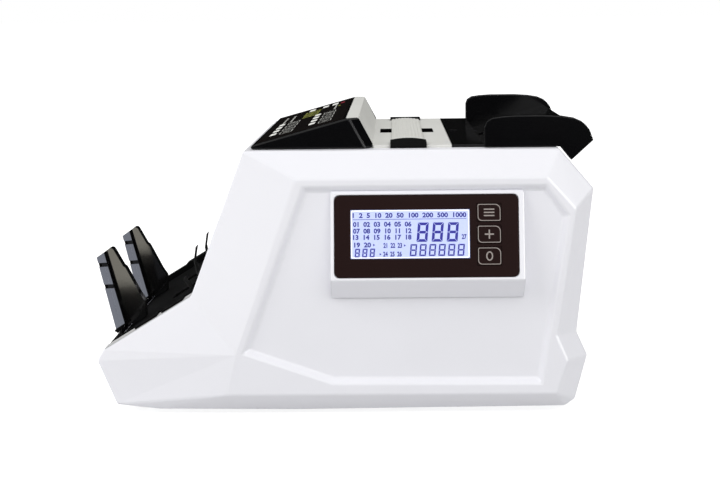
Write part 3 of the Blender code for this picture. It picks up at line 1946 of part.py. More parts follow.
def side_display_bezel():
    top = face_point(display_height / 2 + bezel_border_top)
    base = face_point(-display_height / 2 - bezel_border_base)
    back = recess_x + seat_gap
    section = [
        (back, top[1] + bezel_bevel),
        top,
        base,
        (back, base[1] - bezel_chin),
    ]
    width = display_width + bezel_border_front + bezel_border_rear
    middle_y = display_y + (bezel_border_rear - bezel_border_front) / 2
    place = (0, middle_y, 0)
    made = plate(
        "side_display_bezel", section, width, place, FLAT_XZ, machine, white_shell("white_abs")
    )
    soften(made, bezel_bevel)
    hollow = offset_line(section, -bezel_wall, closed=True)
    hollow[0] = (back - overrun, hollow[0][1])
    hollow[-1] = (back - overrun, hollow[-1][1])
    cut(made, plate("bezel_hollow", hollow, width - 2 * bezel_wall, place, FLAT_XZ, machine, None))
    pocket = rounded(
        rectangle(display_width + 2 * seat_gap, display_height + 2 * seat_gap), [display_round] * 4
    )
    depth = 2 * (overlay_wall + seat_gap)
    cut(made, plate("bezel_pocket", pocket, depth, (0, 0, 0), (0, 0, 0), display, None))
    through = (
        display_width - 2 * bezel_ledge,
        display_height - 2 * bezel_ledge,
        2 * (bezel_wall + overrun),
    )
    cut(made, box("bezel_opening", through, (0, 0, 0), display))
    for side_x in SIDES:
        for side_y in SIDES:
            x = side_x * (module_width / 2 - bezel_boss_radius)
            top = -(overlay_wall + bezel_wall) / 2
            profile = rod_profile(top, -(board_depth - seat_gap), bezel_boss_radius)
            boss = turned(
                "bezel_boss",
                [profile],
                small_steps,
                (x, side_y * bezel_boss_y, 0),
                (0, 0, 0),
                display,
                None,
            )
            fuse(made, boss)
    return made


side_display_bezel()
side_key_hole = (side_key_width + 2 * seat_gap, side_key_height + 2 * seat_gap)
side_holes = [rectangle(*side_key_hole, (side_key_x, y)) for y in side_key_y]
side_holes.append(rectangle(lcd_width, lcd_height, (lcd_x, lcd_y)))
plate(
    "side_overlay",
    rounded(rectangle(display_width, display_height), [display_round] * 4),
    overlay_wall,
    (0, 0, -overlay_wall / 2),
    (0, 0, 0),
    display,
    finish("overlay_brown", (0.017, 0.008, 0.006), 0.15),
    side_holes,
)
side_module = window_block(
    "side_lcd",
    display,
    (lcd_width, lcd_height),
    (lcd_x, lcd_y),
    -(board_depth + board_wall / 2),
    2 * key_flange,
    finish("lcd_glass", (0.45, 0.60, 0.95), 0.15),
)
module_board = (module_width, module_height, board_wall)
fuse(
    side_module,
    box("module_board", module_board, (0, 0, -(board_depth + board_wall / 2)), display),
)
for number, y in enumerate(side_key_y, start=1):
    key_cap(
        "side_key_" + str(number),
        display,
        (side_key_x, y),
        side_key_width,
        side_key_height,
        board_depth,
        finish("overlay_brown", (0.017, 0.008, 0.006), 0.15),
    )
cover_window = (
    module_width + 2 * seat_gap,
    module_height + 2 * seat_gap,
    2 * (display_reach - rim_x),
)
cut(right_cover, box("cover_window", cover_window, (0, 0, 0), display))
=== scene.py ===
# Looks of the banknote counter: finishes, printed legends, displays, lights and camera.
# Metres, +Z up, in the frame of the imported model. The front faces -Y and the side display +X.

import json
import math

import bmesh
import bpy
from mathutils import Matrix, Vector


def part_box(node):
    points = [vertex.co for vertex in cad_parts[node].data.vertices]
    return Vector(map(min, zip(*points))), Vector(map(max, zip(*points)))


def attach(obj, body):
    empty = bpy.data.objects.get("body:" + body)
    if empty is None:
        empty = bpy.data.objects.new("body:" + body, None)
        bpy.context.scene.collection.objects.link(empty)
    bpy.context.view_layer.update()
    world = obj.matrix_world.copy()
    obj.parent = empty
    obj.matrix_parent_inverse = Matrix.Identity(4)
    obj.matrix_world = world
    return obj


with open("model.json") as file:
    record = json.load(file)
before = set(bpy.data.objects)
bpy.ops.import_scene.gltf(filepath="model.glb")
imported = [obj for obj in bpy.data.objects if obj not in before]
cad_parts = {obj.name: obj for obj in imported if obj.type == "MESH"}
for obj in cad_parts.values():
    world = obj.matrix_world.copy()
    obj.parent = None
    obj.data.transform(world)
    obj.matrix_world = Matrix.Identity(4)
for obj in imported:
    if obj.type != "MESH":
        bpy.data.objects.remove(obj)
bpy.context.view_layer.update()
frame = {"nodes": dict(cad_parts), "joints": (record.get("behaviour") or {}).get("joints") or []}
mm = 0.001
joints = {joint["name"]: joint for joint in frame["joints"]}


# Colours and nodes


def colour(code):
    """An sRGB hex code as the linear colour that the shaders work in."""
    shares = [int(code[k : k + 2], 16) / 255 for k in (0, 2, 4)]
    linear = [s / 12.92 if s <= 0.04045 else ((s + 0.055) / 1.055) ** 2.4 for s in shares]
    return (*linear, 1.0)


def add(owner, kind, inputs=None, **settings):
    """Adds one node; inputs maps its sockets to values or to other nodes' outputs."""
    made = owner.node_tree.nodes.new("ShaderNode" + kind)
    for name, value in settings.items():
        setattr(made, name, value)
    for socket, value in (inputs or {}).items():
        if isinstance(value, bpy.types.NodeSocket):
            owner.node_tree.links.new(value, made.inputs[socket])
        else:
            made.inputs[socket].default_value = value
    return made


def start_material(name):
    """A new material without nodes, and the place on the object that its patterns follow."""
    material = bpy.data.materials.new(name)
    material.use_nodes = True
    material.node_tree.nodes.clear()
    where = add(material, "TexCoord").outputs["Object"]
    return material, where


def finish_material(material, inputs):
    """Gives the material its surface, and hands it back."""
    surface = add(material, "BsdfPrincipled", inputs)
    add(material, "OutputMaterial", {"Surface": surface.outputs["BSDF"]})
    return material


def two_tones(material, factor, first, second):
    """The colour that runs from one hex code to another with the factor."""
    mix = add(material, "Mix", {0: factor, 6: colour(first), 7: colour(second)}, data_type="RGBA")
    return mix.outputs[2]


# Grain sizes. Spark-eroded and polished moulds leave a grain of 0.05 to 0.2 mm, too fine to show at
# this distance, so it is drawn several times as coarse. A polished face keeps only a slow waviness.
satin_grain = 0.7 * mm
gloss_grain = 5.0 * mm
tone_patch = 60.0 * mm

abs_ior = 1.5
nylon_ior = 1.53
rubber_ior = 1.52


def moulded(
    name,
    first,
    second,
    roughness,
    relief,
    edge,
    grain=satin_grain,
    ior=abs_ior,
    spread=0.05,
    specular=0.5,
):
    """Moulded plastic or rubber: slow drifts of tone and gloss, a fine grain, rounded edges.

    The relief is the grain's height, the edge the radius that all edges look rounded by, and the
    spread how far the roughness drifts either way.
    """
    material, where = start_material(name)
    drift = add(material, "TexNoise", {"Vector": where, "Scale": 1 / tone_patch, "Detail": 3.0})
    fine = add(material, "TexNoise", {"Vector": where, "Scale": 1 / grain, "Detail": 2.0})
    gloss = add(
        material,
        "MapRange",
        {"Value": drift.outputs[0], "To Min": roughness - spread, "To Max": roughness + spread},
    )
    rounded_edges = add(material, "Bevel", {"Radius": edge}, samples=6)
    bump = add(
        material,
        "Bump",
        {
            "Strength": 1.0,
            "Distance": relief,
            "Height": fine.outputs[0],
            "Normal": rounded_edges.outputs[0],
        },
    )
    return finish_material(
        material,
        {
            "Base Color": two_tones(material, drift.outputs[0], first, second),
            "Roughness": gloss.outputs[0],
            "IOR": ior,
            "Specular IOR Level": specular,
            "Normal": bump.outputs[0],
        },
    )


def sheet_metal(name, first, second, roughness, spangle):
    """Zinc-plated sheet steel: crystal patches of slightly unlike tone and gloss."""
    gloss_spread = 0.08
    bent_edge = 0.3 * mm
    material, where = start_material(name)
    patches = add(material, "TexVoronoi", {"Vector": where, "Scale": 1 / spangle})
    level = add(material, "SeparateColor", {"Color": patches.outputs["Color"]})
    gloss = add(
        material,
        "MapRange",
        {
            "Value": level.outputs[0],
            "To Min": roughness - gloss_spread,
            "To Max": roughness + gloss_spread,
        },
    )
    rounded_edges = add(material, "Bevel", {"Radius": bent_edge}, samples=4)
    return finish_material(
        material,
        {
            "Base Color": two_tones(material, level.outputs[0], first, second),
            "Metallic": 1.0,
            "Roughness": gloss.outputs[0],
            "Normal": rounded_edges.outputs[0],
        },
    )


def ground_metal(name, first, second, roughness, pitch):
    """Steel turned and ground round X: fine rings that smear its highlights along the shaft."""
    ring_relief = 0.004 * mm
    material, where = start_material(name)
    rings = add(
        material,
        "TexWave",
        {"Vector": where, "Scale": 1 / pitch, "Distortion": 1.5, "Detail": 2.0},
        bands_direction="X",
    )
    bump = add(material, "Bump", {"Distance": ring_relief, "Height": rings.outputs[1]})
    return finish_material(
        material,
        {
            "Base Color": two_tones(material, rings.outputs[1], first, second),
            "Metallic": 1.0,
            "Roughness": roughness,
            "Normal": bump.outputs[0],
        },
    )


def rubber_on_steel(name, joint_name, core_radius):
    """A ground steel shaft with rubber tyres and nylon pulleys, told apart by their radius."""
    steel_tone, steel_roughness, rubber_roughness = "B9BCC0", 0.22, 0.75
    grit_relief = 0.05 * mm
    material, where = start_material(name)
    axis_place = Vector(joints[joint_name]["pos_m"])
    centre = Vector((0, axis_place.y, axis_place.z))
    from_axis = add(material, "VectorMath", {0: where, 1: centre}, operation="SUBTRACT")
    flat = add(material, "VectorMath", {0: from_axis.outputs[0], 1: (0, 1, 1)}, operation="MULTIPLY")
    radius = add(material, "VectorMath", {0: flat.outputs[0]}, operation="LENGTH")
    is_tyre = add(
        material, "Math", {0: radius.outputs["Value"], 1: core_radius}, operation="GREATER_THAN"
    )
    grit = add(material, "TexNoise", {"Vector": where, "Scale": 1 / satin_grain, "Detail": 3.0})
    rubber_tone = two_tones(material, grit.outputs[0], "1A1A1B", "2B2A29")
    tone = add(
        material,
        "Mix",
        {0: is_tyre.outputs[0], 6: colour(steel_tone), 7: rubber_tone},
        data_type="RGBA",
    )
    bare = add(material, "Math", {0: 1.0, 1: is_tyre.outputs[0]}, operation="SUBTRACT")
    gloss = add(
        material,
        "MapRange",
        {"Value": is_tyre.outputs[0], "To Min": steel_roughness, "To Max": rubber_roughness},
    )
    bump = add(material, "Bump", {"Distance": grit_relief, "Height": grit.outputs[0]})
    return finish_material(
        material,
        {
            "Base Color": tone.outputs[2],
            "Metallic": bare.outputs[0],
            "Roughness": gloss.outputs[0],
            "Normal": bump.outputs[0],
        },
    )


def ink(name, first, second, roughness, glow=0.0):
    """Screen-printed ink or a lit display segment: a slightly uneven film."""
    film_patch = 2.0 * mm
    material, where = start_material(name)
    film = add(material, "TexNoise", {"Vector": where, "Scale": 1 / film_patch, "Detail": 2.0})
    tone = two_tones(material, film.outputs[0], first, second)
    return finish_material(
        material,
        {
            "Base Color": tone,
            "Roughness": roughness,
            "Emission Color": tone,
            "Emission Strength": glow,
        },
    )


def circuit_laminate(name):
    """Glass-epoxy board under green solder mask: faint copper runs show through the mask."""
    run_pitch, run_share = 6.0 * mm, 0.06
    mask_grain, mask_relief = 1.5 * mm, 0.03 * mm
    material, where = start_material(name)
    runs = add(
        material,
        "TexBrick",
        {
            "Vector": where,
            "Scale": 1 / run_pitch,
            "Mortar Size": run_share,
            "Color1": colour("0F4A26"),
            "Color2": colour("12522B"),
            "Mortar": colour("2C7A45"),
        },
    )
    mask = add(material, "TexNoise", {"Vector": where, "Scale": 1 / mask_grain})
    bump = add(material, "Bump", {"Distance": mask_relief, "Height": mask.outputs[0]})
    return finish_material(
        material,
        {"Base Color": runs.outputs[0], "Roughness": 0.35, "Normal": bump.outputs[0]},
    )


# White ABS, satin moulded: a cool, even white whose facets read by shade alone
white_abs = moulded(
    "white_moulded_abs", "EDEDF2", "F1F1F6", roughness=0.42, relief=0.012 * mm, edge=0.7 * mm
)
# Light grey ABS, satin moulded: neutral grey with a little more grain than the white
grey_abs = moulded(
    "light_grey_moulded_abs", "DCDCD7", "E2E2DD", roughness=0.5, relief=0.02 * mm, edge=0.4 * mm
)
# Black ABS from a polished mould: near black, mirror-like only at its edges and folds
black_abs = moulded(
    "polished_black_abs",
    "08080A",
    "0C0C0D",
    roughness=0.1,
    relief=0.01 * mm,
    edge=0.4 * mm,
    grain=gloss_grain,
    spread=0.03,
    specular=0.25,
)
# Black ABS of the stacker's fingers: the same polish with a fuller sheen and crisp corners, cool
# where it faces the light
finger_abs = moulded(
    "sheeny_black_abs",
    "0C0C0D",
    "111112",
    roughness=0.08,
    relief=0.01 * mm,
    edge=0.12 * mm,
    grain=gloss_grain,
    spread=0.04,
)
# Textured black ABS of the stacker's tray: it takes up light and returns almost none; the fingers'
# notch lines and fills use it as painted shade
textured_black_and_notch_shade = moulded(
    "textured_black_abs_and_notch_shade",
    "070707",
    "0B0B0B",
    roughness=0.7,
    relief=0.04 * mm,
    edge=0.4 * mm,
    specular=0.04,
)
# A dull light grey, a little darker than the top cover's, for the strips on the stacker's rim
rim_strip_grey = moulded(
    "dull_light_grey_rim_strip", "BDBDBC", "C6C6C5", roughness=0.5, relief=0.02 * mm, edge=0.2 * mm
)
# Black nylon, satin moulded: soft grey sheen
black_nylon = moulded(
    "black_moulded_nylon",
    "151516",
    "1D1D1E",
    roughness=0.45,
    relief=0.02 * mm,
    edge=0.4 * mm,
    ior=nylon_ior,
)
# Soft vinyl for the strap: warm grey, dull
strap_vinyl = moulded(
    "grey_strap_vinyl", "D4D4CE", "DADAD4", roughness=0.6, relief=0.02 * mm, edge=0.35 * mm
)
# Polyester film printed on its back, for the side display: an even brown-black under a smooth face
side_film = moulded(
    "brown_black_overlay_film",
    "221514",
    "261817",
    roughness=0.28,
    relief=0.0,
    edge=0.2 * mm,
    grain=gloss_grain,
    spread=0.02,
    specular=0.03,
)
# The same film for the front panel, in a deeper and more neutral black
front_film = moulded(
    "black_overlay_film",
    "0F0B0A",
    "13100F",
    roughness=0.3,
    relief=0.0,
    edge=0.2 * mm,
    grain=gloss_grain,
    spread=0.02,
    specular=0.05,
)
# Rubber of the feet: dull black with a dusty grain
foot_rubber = moulded(
    "black_foot_rubber",
    "1B1B1B",
    "262524",
    roughness=0.8,
    relief=0.08 * mm,
    edge=0.5 * mm,
    ior=rubber_ior,
)
# Cast rubber of the blades and drive belts: matt, a shade darker than the feet
belt_rubber = moulded(
    "black_belt_rubber",
    "161616",
    "202020",
    roughness=0.7,
    relief=0.05 * mm,
    edge=0.3 * mm,
    ior=rubber_ior,
)
# Zinc-plated sheet, for the frames, pan and guides: spangles of about 6 mm
zinc_sheet = sheet_metal("zinc_plated_sheet", "A9ACAF", "BCBFC2", roughness=0.38, spangle=6.0 * mm)
# Ground steel for the tie rod: bright, with a streak along its length
ground_steel = ground_metal("ground_steel", "AEB1B4", "C6C9CC", roughness=0.22, pitch=1.2 * mm)
# Glass-epoxy board: deep green with paler runs, half matt
board_laminate = circuit_laminate("green_circuit_laminate")
# Backlit liquid crystal: a pale blue glow behind glass
lcd_glow = ink("backlit_blue_lcd", "B4C0F0", "C0CAF4", roughness=0.3, glow=0.3)
# Smoked acrylic window over the front figures: almost black, a little green
smoked_window = ink("smoked_green_window", "14160C", "1B1D10", roughness=0.2)
# Liquid-crystal segments: deep blue where they are large, softer where they are fine
lcd_strong = ink("dark_blue_segment", "0C0C94", "12129E", roughness=0.35)
lcd_soft = ink("mid_blue_segment", "1E2290", "262A98", roughness=0.35)
# The light guide's bright edge round the display
lcd_rim = ink("white_lcd_rim", "F4F8FF", "FFFFFF", roughness=0.3, glow=0.45)
# Screen inks: a dim warm grey line round the keys, plain light legends, white labels, a dark red mark
outline_ink = ink("grey_outline_ink", "8D837E", "9A918B", roughness=0.5)
legend_ink = ink("light_legend_ink", "C4C4BE", "D6D6D0", roughness=0.5)
red_ink = ink("dark_red_ink", "8E1228", "A01A34", roughness=0.5)
white_ink = ink("white_label_ink", "F2F2EC", "FAFAF4", roughness=0.5)
# Light-emitting segments behind the smoked window: a weak olive glow
olive_segment = ink("olive_led_segment", "7E8038", "96984A", roughness=0.35, glow=0.15)


# Which solid has which finish

front_keys, side_keys = range(1, 9), range(1, 4)
finish_groups = (
    (white_abs, ("left_side_cover", "right_side_cover", "toe_cover", "front_cover", "rear_cover")),
    (white_abs, ("side_display_bezel",)),
    (grey_abs, ("top_cover",)),
    (strap_vinyl, ("carry_strap",)),
    (black_abs, ("finger_well", "control_housing", "hopper_tray")),
    (textured_black_and_notch_shade, ("strap_cap_left", "strap_cap_right", "gap_screw", "stacker_tray")),
    (finger_abs, ("stacker_finger_left", "stacker_finger_right")),
    (front_film, ("control_overlay", *["front_key_" + str(number) for number in front_keys])),
    (side_film, ("side_overlay", *["side_key_" + str(number) for number in side_keys])),
    (smoked_window, ("control_board",)),
    (lcd_glow, ("side_lcd",)),
    (black_nylon, ("motor_pulley", "power_inlet", "power_rocker")),
    (belt_rubber, ("stacker_wheel_left", "stacker_wheel_right", "retard_roller")),
    (belt_rubber, ("main_drive_belt", "pickup_drive_belt", "stacker_drive_belt")),
    (zinc_sheet, ("base_pan", "frame_left", "frame_right", "drive_motor")),
    (zinc_sheet, ("lower_note_guide", "upper_note_guide")),
    (ground_steel, ("tie_rod",)),
    (board_laminate, ("main_board",)),
    (foot_rubber, ("rubber_foot_front_left", "rubber_foot_front_right")),
    (foot_rubber, ("rubber_foot_rear_left", "rubber_foot_rear_right")),
)
finishes = {node: material for material, nodes in finish_groups for node in nodes}
shaft_core = 3.6 * mm
for node, joint_name in (
    ("transport_roller", "transport_spin"),
    ("exit_roller", "exit_spin"),
    ("feed_roller", "feed_spin"),
    ("pickup_roller", "pickup_spin"),
    ("stacker_shaft", "stacker_spin"),
    ("transport_pinch_roller", "transport_pinch_spin"),
    ("exit_pinch_roller", "exit_pinch_spin"),
):
    finishes[node] = rubber_on_steel(node + "_rubber_and_steel", joint_name, shaft_core)
for node, material in finishes.items():
    for cad_slot in frame["nodes"][node].material_slots:
        cad_slot.material = material


# Flat printed shapes on the two panels

print_height = 0.03 * mm
print_sink = 0.02 * mm
corner_steps = 5
# The overlays' thickness, how far the displays lie under their face and the keys stand above it
overlay_wall = 1.0 * mm
window_sink = 0.2 * mm
key_rise = 0.4 * mm


def face_plane(joint_name, node, sideways):
    """The plane of a key panel: its middle on the node's face, Z out of the panel."""
    outward = -Vector(joints[joint_name]["axis"]).normalized()
    across = Vector(sideways)
    upward = outward.cross(across)
    lowest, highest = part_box(node)
    middle = (lowest + highest) / 2 + outward * overlay_wall / 2
    turn = Matrix((across, upward, outward)).transposed().to_4x4()
    return Matrix.Translation(middle) @ turn


def key_spot(plane, key):
    """Where the key's joint lies on its panel, in the plane's own coordinates."""
    return plane.inverted() @ Vector(joints[key + "_press"]["pos_m"])


def round_rectangle(centre, width, height, radii):
    """An outline run anticlockwise from the lower left corner; radii in the same order."""
    signs = ((-1, -1), (1, -1), (1, 1), (-1, 1))
    points = []
    for quarter, ((sx, sy), radius) in enumerate(zip(signs, radii)):
        hub = (centre[0] + sx * (width / 2 - radius), centre[1] + sy * (height / 2 - radius))
        for k in range(corner_steps + 1):
            angle = math.pi + (quarter + k / corner_steps) * math.pi / 2
            points.append((hub[0] + radius * math.cos(angle), hub[1] + radius * math.sin(angle)))
    return points


def ellipse(centre, across, up, steps=20):
    """An outline with these two radii."""
    return [
        (
            centre[0] + across * math.cos(2 * math.pi * k / steps),
            centre[1] + up * math.sin(2 * math.pi * k / steps),
        )
        for k in range(steps)
    ]


def bar(start, end, width):
    """A straight stroke between two points."""
    along = Vector((end[0] - start[0], end[1] - start[1]))
    side = Vector((-along.y, along.x)).normalized() * width / 2
    first, last = Vector(start), Vector(end)
    return [tuple(p) for p in (first - side, last - side, last + side, first + side)]


def placed(name, bm, plane, material, body):
    """The mesh as a piece on its plane, with its finish and body."""
    mesh = bpy.data.meshes.new(name)
    bm.to_mesh(mesh)
    bm.free()
    made = bpy.data.objects.new(name, mesh)
    bpy.context.scene.collection.objects.link(made)
    made.matrix_world = plane
    mesh.materials.append(material)
    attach(made, body)
    return made


def printed(name, plane, fills, rings, material, body, slot, base=-print_sink, top=print_height):
    """Flat shapes, each a closed slab: fills are outlines, rings pairs of outer and inner outlines."""
    bm = bmesh.new()
    for outline in fills:
        bm.faces.new([bm.verts.new((x, y, base)) for x, y in outline])
    for outer, inner in rings:
        outer_verts = [bm.verts.new((x, y, base)) for x, y in outer]
        inner_verts = [bm.verts.new((x, y, base)) for x, y in inner]
        count = len(outer_verts)
        for k in range(count):
            n = (k + 1) % count
            bm.faces.new((outer_verts[k], outer_verts[n], inner_verts[n], inner_verts[k]))
    raised = bmesh.ops.extrude_face_region(bm, geom=bm.faces[:])
    moved = [item for item in raised["geom"] if isinstance(item, bmesh.types.BMVert)]
    bmesh.ops.translate(bm, verts=moved, vec=(0, 0, top - base))
    bmesh.ops.recalc_face_normals(bm, faces=bm.faces[:])
    return placed(name, bm, plane, material, body)


digit_width_share = 0.56
digit_lean = 0.09
digit_gap_share = 0.1


def figure_eight(centre, height, stroke):
    """The seven bars of a display figure, mitred at its corners and a little apart."""
    wide, tall = height * digit_width_share / 2, height / 2
    half, gap = stroke / 2, stroke * digit_gap_share
    inner_wide, inner_tall = wide - stroke, tall - stroke
    reach = wide - half - gap
    bars = [
        [
            (-reach, 0.0),
            (-reach + half, -half),
            (reach - half, -half),
            (reach, 0.0),
            (reach - half, half),
            (-reach + half, half),
        ]
    ]
    for up in (-1, 1):
        bars.append(
            [
                (-wide + gap, up * tall),
                (wide - gap, up * tall),
                (inner_wide - gap, up * inner_tall),
                (-inner_wide + gap, up * inner_tall),
            ]
        )
        for side in (-1, 1):
            bars.append(
                [
                    (side * wide, up * (tall - gap)),
                    (side * inner_wide, up * (inner_tall - gap)),
                    (side * inner_wide, up * (half + gap)),
                    (side * (wide - half), up * gap),
                    (side * wide, up * gap),
                ]
            )
    return [[(centre[0] + x + digit_lean * y, centre[1] + y) for x, y in outline] for outline in bars]


def figure_rows(rows):
    """All bars of some rows of display figures, the rows given in mm."""
    return [
        segment
        for count, (x, y), step, height, stroke in rows
        for k in range(count)
        for segment in figure_eight(((x + step * k) * mm, y * mm), height * mm, stroke * mm)
    ]


number_weight = 0.042
number_drop = 0.35
curve_steps = 3


def plain_numbers(name, rows, size, plane, material, body, slot):
    """Rows of plain numbers as one flat mesh; a row is its text, left end, width and height in mm."""
    bm = bmesh.new()
    for text, left, width, level in rows:
        letters = bpy.data.curves.new(name, "FONT")
        letters.body = text
        letters.size = size
        letters.resolution_u = curve_steps
        letters.offset = size * number_weight
        letters.extrude = print_height / 2
        holder = bpy.data.objects.new(name, letters)
        bpy.context.scene.collection.objects.link(holder)
        shape = bpy.data.meshes.new_from_object(
            holder.evaluated_get(bpy.context.evaluated_depsgraph_get())
        )
        reach = [v.co.x for v in shape.vertices]
        stretch = width * mm / (max(reach) - min(reach))
        for vertex in shape.vertices:
            vertex.co.x = left * mm + (vertex.co.x - min(reach)) * stretch
            vertex.co.y += level * mm - size * number_drop
        bm.from_mesh(shape)
        bpy.data.objects.remove(holder)
        bpy.data.meshes.remove(shape)
    return placed(name, bm, plane, material, body)


# Side display. Its figures and marks are in mm from its own middle. A row of figures is their count,
# the first one's middle, the step to the next, and a figure's height and stroke.

lcd_middle = (-9.2, 1.2)
lcd_width, lcd_height = 67.1 * mm, 27.4 * mm
lcd_rim_width = 0.55 * mm
lcd_round, lcd_inner_round = 0.9 * mm, 0.6 * mm
big_rows = ((3, (7.1, 1.0), 8.55, 11.0, 1.55),)
small_rows = ((6, (1.8, -9.2), 5.4, 6.8, 0.85), (3, (-30.0, -10.6), 4.25, 5.0, 0.75))
pointer_tops = ((-21.0, -5.4), (-3.6, -5.8), (-17.4, -10.7))
pointer_length, pointer_height = 1.1, 1.4
rule_start, rule_end, rule_width = (-32.6 * mm, 8.4 * mm), (32.0 * mm, 8.6 * mm), 0.28 * mm
number_size = 3.7 * mm
number_rows = (
    ("1  2  5  10  20  50  100  200  500  1000", -32.6, 64.6, 10.8),
    ("01  02  03  04  05  06", -32.4, 33.2, 5.7),
    ("07  08  09  10  11  12", -32.4, 33.2, 1.9),
    ("13  14  15  16  17  18", -32.4, 33.2, -1.7),
    ("19  20", -31.8, 9.6, -6.0),
    ("21  22  23", -15.2, 10.6, -6.4),
    ("24  25  26", -15.4, 10.6, -11.3),
    ("27", 29.2, 2.8, -1.7),
)


def side_display(plane):
    """The plain figures and marks of the lit display."""
    rim = (
        round_rectangle((0, 0), lcd_width, lcd_height, (lcd_round,) * 4),
        round_rectangle(
            (0, 0),
            lcd_width - 2 * lcd_rim_width,
            lcd_height - 2 * lcd_rim_width,
            (lcd_inner_round,) * 4,
        ),
    )
    pointers = [
        [
            (x * mm, y * mm),
            (x * mm, (y - pointer_height) * mm),
            ((x + pointer_length) * mm, (y - pointer_height / 2) * mm),
        ]
        for x, y in pointer_tops
    ]
    rule = bar(rule_start, rule_end, rule_width)
    place = ("machine_body", "display_module")
    printed("lcd_white_rim", plane, [], [rim], lcd_rim, *place)
    printed("lcd_big_figures", plane, figure_rows(big_rows), [], lcd_strong, *place)
    printed("lcd_small_figures", plane, figure_rows(small_rows) + pointers, [], lcd_strong, *place)
    printed("lcd_rule", plane, [rule], [], lcd_soft, *place)
    plain_numbers("lcd_plain_numbers", number_rows, number_size, plane, lcd_soft, *place)


side_plane = face_plane("side_key_1_press", "side_overlay", (0, 1, 0))
side_display(side_plane @ Matrix.Translation((lcd_middle[0] * mm, lcd_middle[1] * mm, -window_sink)))

# The three side keys: a rounded outline, and three bars, a plus or a ring in it. A stroke is its two
# ends and its width in mm.
outline_width, outline_height = 12.9 * mm, 9.6 * mm
outline_radii = (2.2 * mm, 0.9 * mm, 3.0 * mm, 0.9 * mm)
outline_stroke = 0.42 * mm
side_key_strokes = {
    1: [((-3.0, level), (3.0, level), 0.7) for level in (-1.8, 0.0, 1.8)],
    2: [((-2.6, 0), (2.6, 0), 0.8), ((0, 0.45), (0, 2.6), 0.8), ((0, -2.6), (0, -0.45), 0.8)],
    3: [],
}
key_outline = (
    round_rectangle((0, 0), outline_width, outline_height, outline_radii),
    round_rectangle(
        (0, 0),
        outline_width - 2 * outline_stroke,
        outline_height - 2 * outline_stroke,
        [radius - 0.5 * outline_stroke for radius in outline_radii],
    ),
)
zero_ring = (ellipse((0, 0), 2.0 * mm, 2.7 * mm), ellipse((0, 0), 1.25 * mm, 1.95 * mm))
for number in side_keys:
    spot = key_spot(side_plane, "side_key_" + str(number))
    strokes = [
        bar((x * mm, y * mm), (end_x * mm, end_y * mm), width * mm)
        for (x, y), (end_x, end_y), width in side_key_strokes[number]
    ]
    printed(
        "side_key_outline_" + str(number),
        side_plane @ Matrix.Translation((spot.x, spot.y, key_rise)),
        strokes,
        [key_outline, zero_ring] if number == 3 else [key_outline],
        outline_ink,
        "side_key_" + str(number) + "_body",
        "overlay_film",
    )


# Front control panel: a white label on each key and a framed sign above it, lines of marks and the
# figures in the window

label_width, label_height, label_drop, label_round = 15.0 * mm, 3.9 * mm, 0.6 * mm, 0.5 * mm
sign_rise, sign_width, sign_height = 7.4 * mm, 17.0 * mm, 8.0 * mm
sign_round, sign_inner_round, sign_stroke = 1.5 * mm, 1.1 * mm, 0.45 * mm
dial_radius, dial_inner_radius = 2.6 * mm, 2.0 * mm
dial_reach, dial_stroke = 1.0 * mm, 0.6 * mm
slope_foot, slope_head, slope_reach, slope_stroke = 4.6 * mm, 1.4 * mm, 2.0 * mm, 0.7 * mm

front_plane = face_plane("front_key_1_press", "control_overlay", (1, 0, 0))
sign_rings = []
sign_fills = []
for number in front_keys:
    spot = key_spot(front_plane, "front_key_" + str(number))
    x, y = spot.x, spot.y + sign_rise
    printed(
        "front_key_label_" + str(number),
        front_plane @ Matrix.Translation((spot.x, spot.y, key_rise)),
        [round_rectangle((0, -label_drop), label_width, label_height, (label_round,) * 4)],
        [],
        white_ink,
        "front_key_" + str(number) + "_body",
        "key_plastic",
    )
    sign_rings.append(
        (
            round_rectangle((x, y), sign_width, sign_height, (sign_round,) * 4),
            round_rectangle(
                (x, y),
                sign_width - 2 * sign_stroke,
                sign_height - 2 * sign_stroke,
                (sign_inner_round,) * 4,
            ),
        )
    )
    if number % 2:
        outer = ellipse((x, y), dial_radius, dial_radius)
        inner = ellipse((x, y), dial_inner_radius, dial_inner_radius)
        sign_rings.append((outer, inner))
        sign_fills.append(bar((x - dial_reach, y), (x + dial_reach, y), dial_stroke))
    else:
        for lean in (-1, 1):
            foot = (x + lean * slope_foot, y - slope_reach)
            head = (x + lean * slope_head, y + slope_reach)
            sign_fills.append(bar(foot, head, slope_stroke))

# Labels and spots of colour, as centre x, y, width, height and corner radius in mm
white_labels = [(-83.5, level, 19.0, 4.2, 0.6) for level in (15.0, 8.0, -1.8)]
red_mark = [(-78.5, 20.6, 9.0, 3.0, 0.6)]
green_mark = [(-52.0, 19.0, 7.0, 1.6, 0.4)]
# Lines of marks, as height, left end of the first and their count
mark_lines = ((16.5 * mm, -66.0 * mm, 4), (-13.5 * mm, -70.0 * mm, 5), (-19.0 * mm, -70.0 * mm, 5))
mark_step, mark_length, mark_width = 11.0 * mm, 7.0 * mm, 1.3 * mm
window_middle = (-48.0 * mm, -0.6 * mm)
window_rows = ((5, (-22.0, 0.0), 11.0, 11.0, 1.5),)


def panel_spots(spots):
    """The outlines of labels and spots of colour."""
    return [
        round_rectangle((x * mm, y * mm), width * mm, height * mm, (radius * mm,) * 4)
        for x, y, width, height, radius in spots
    ]


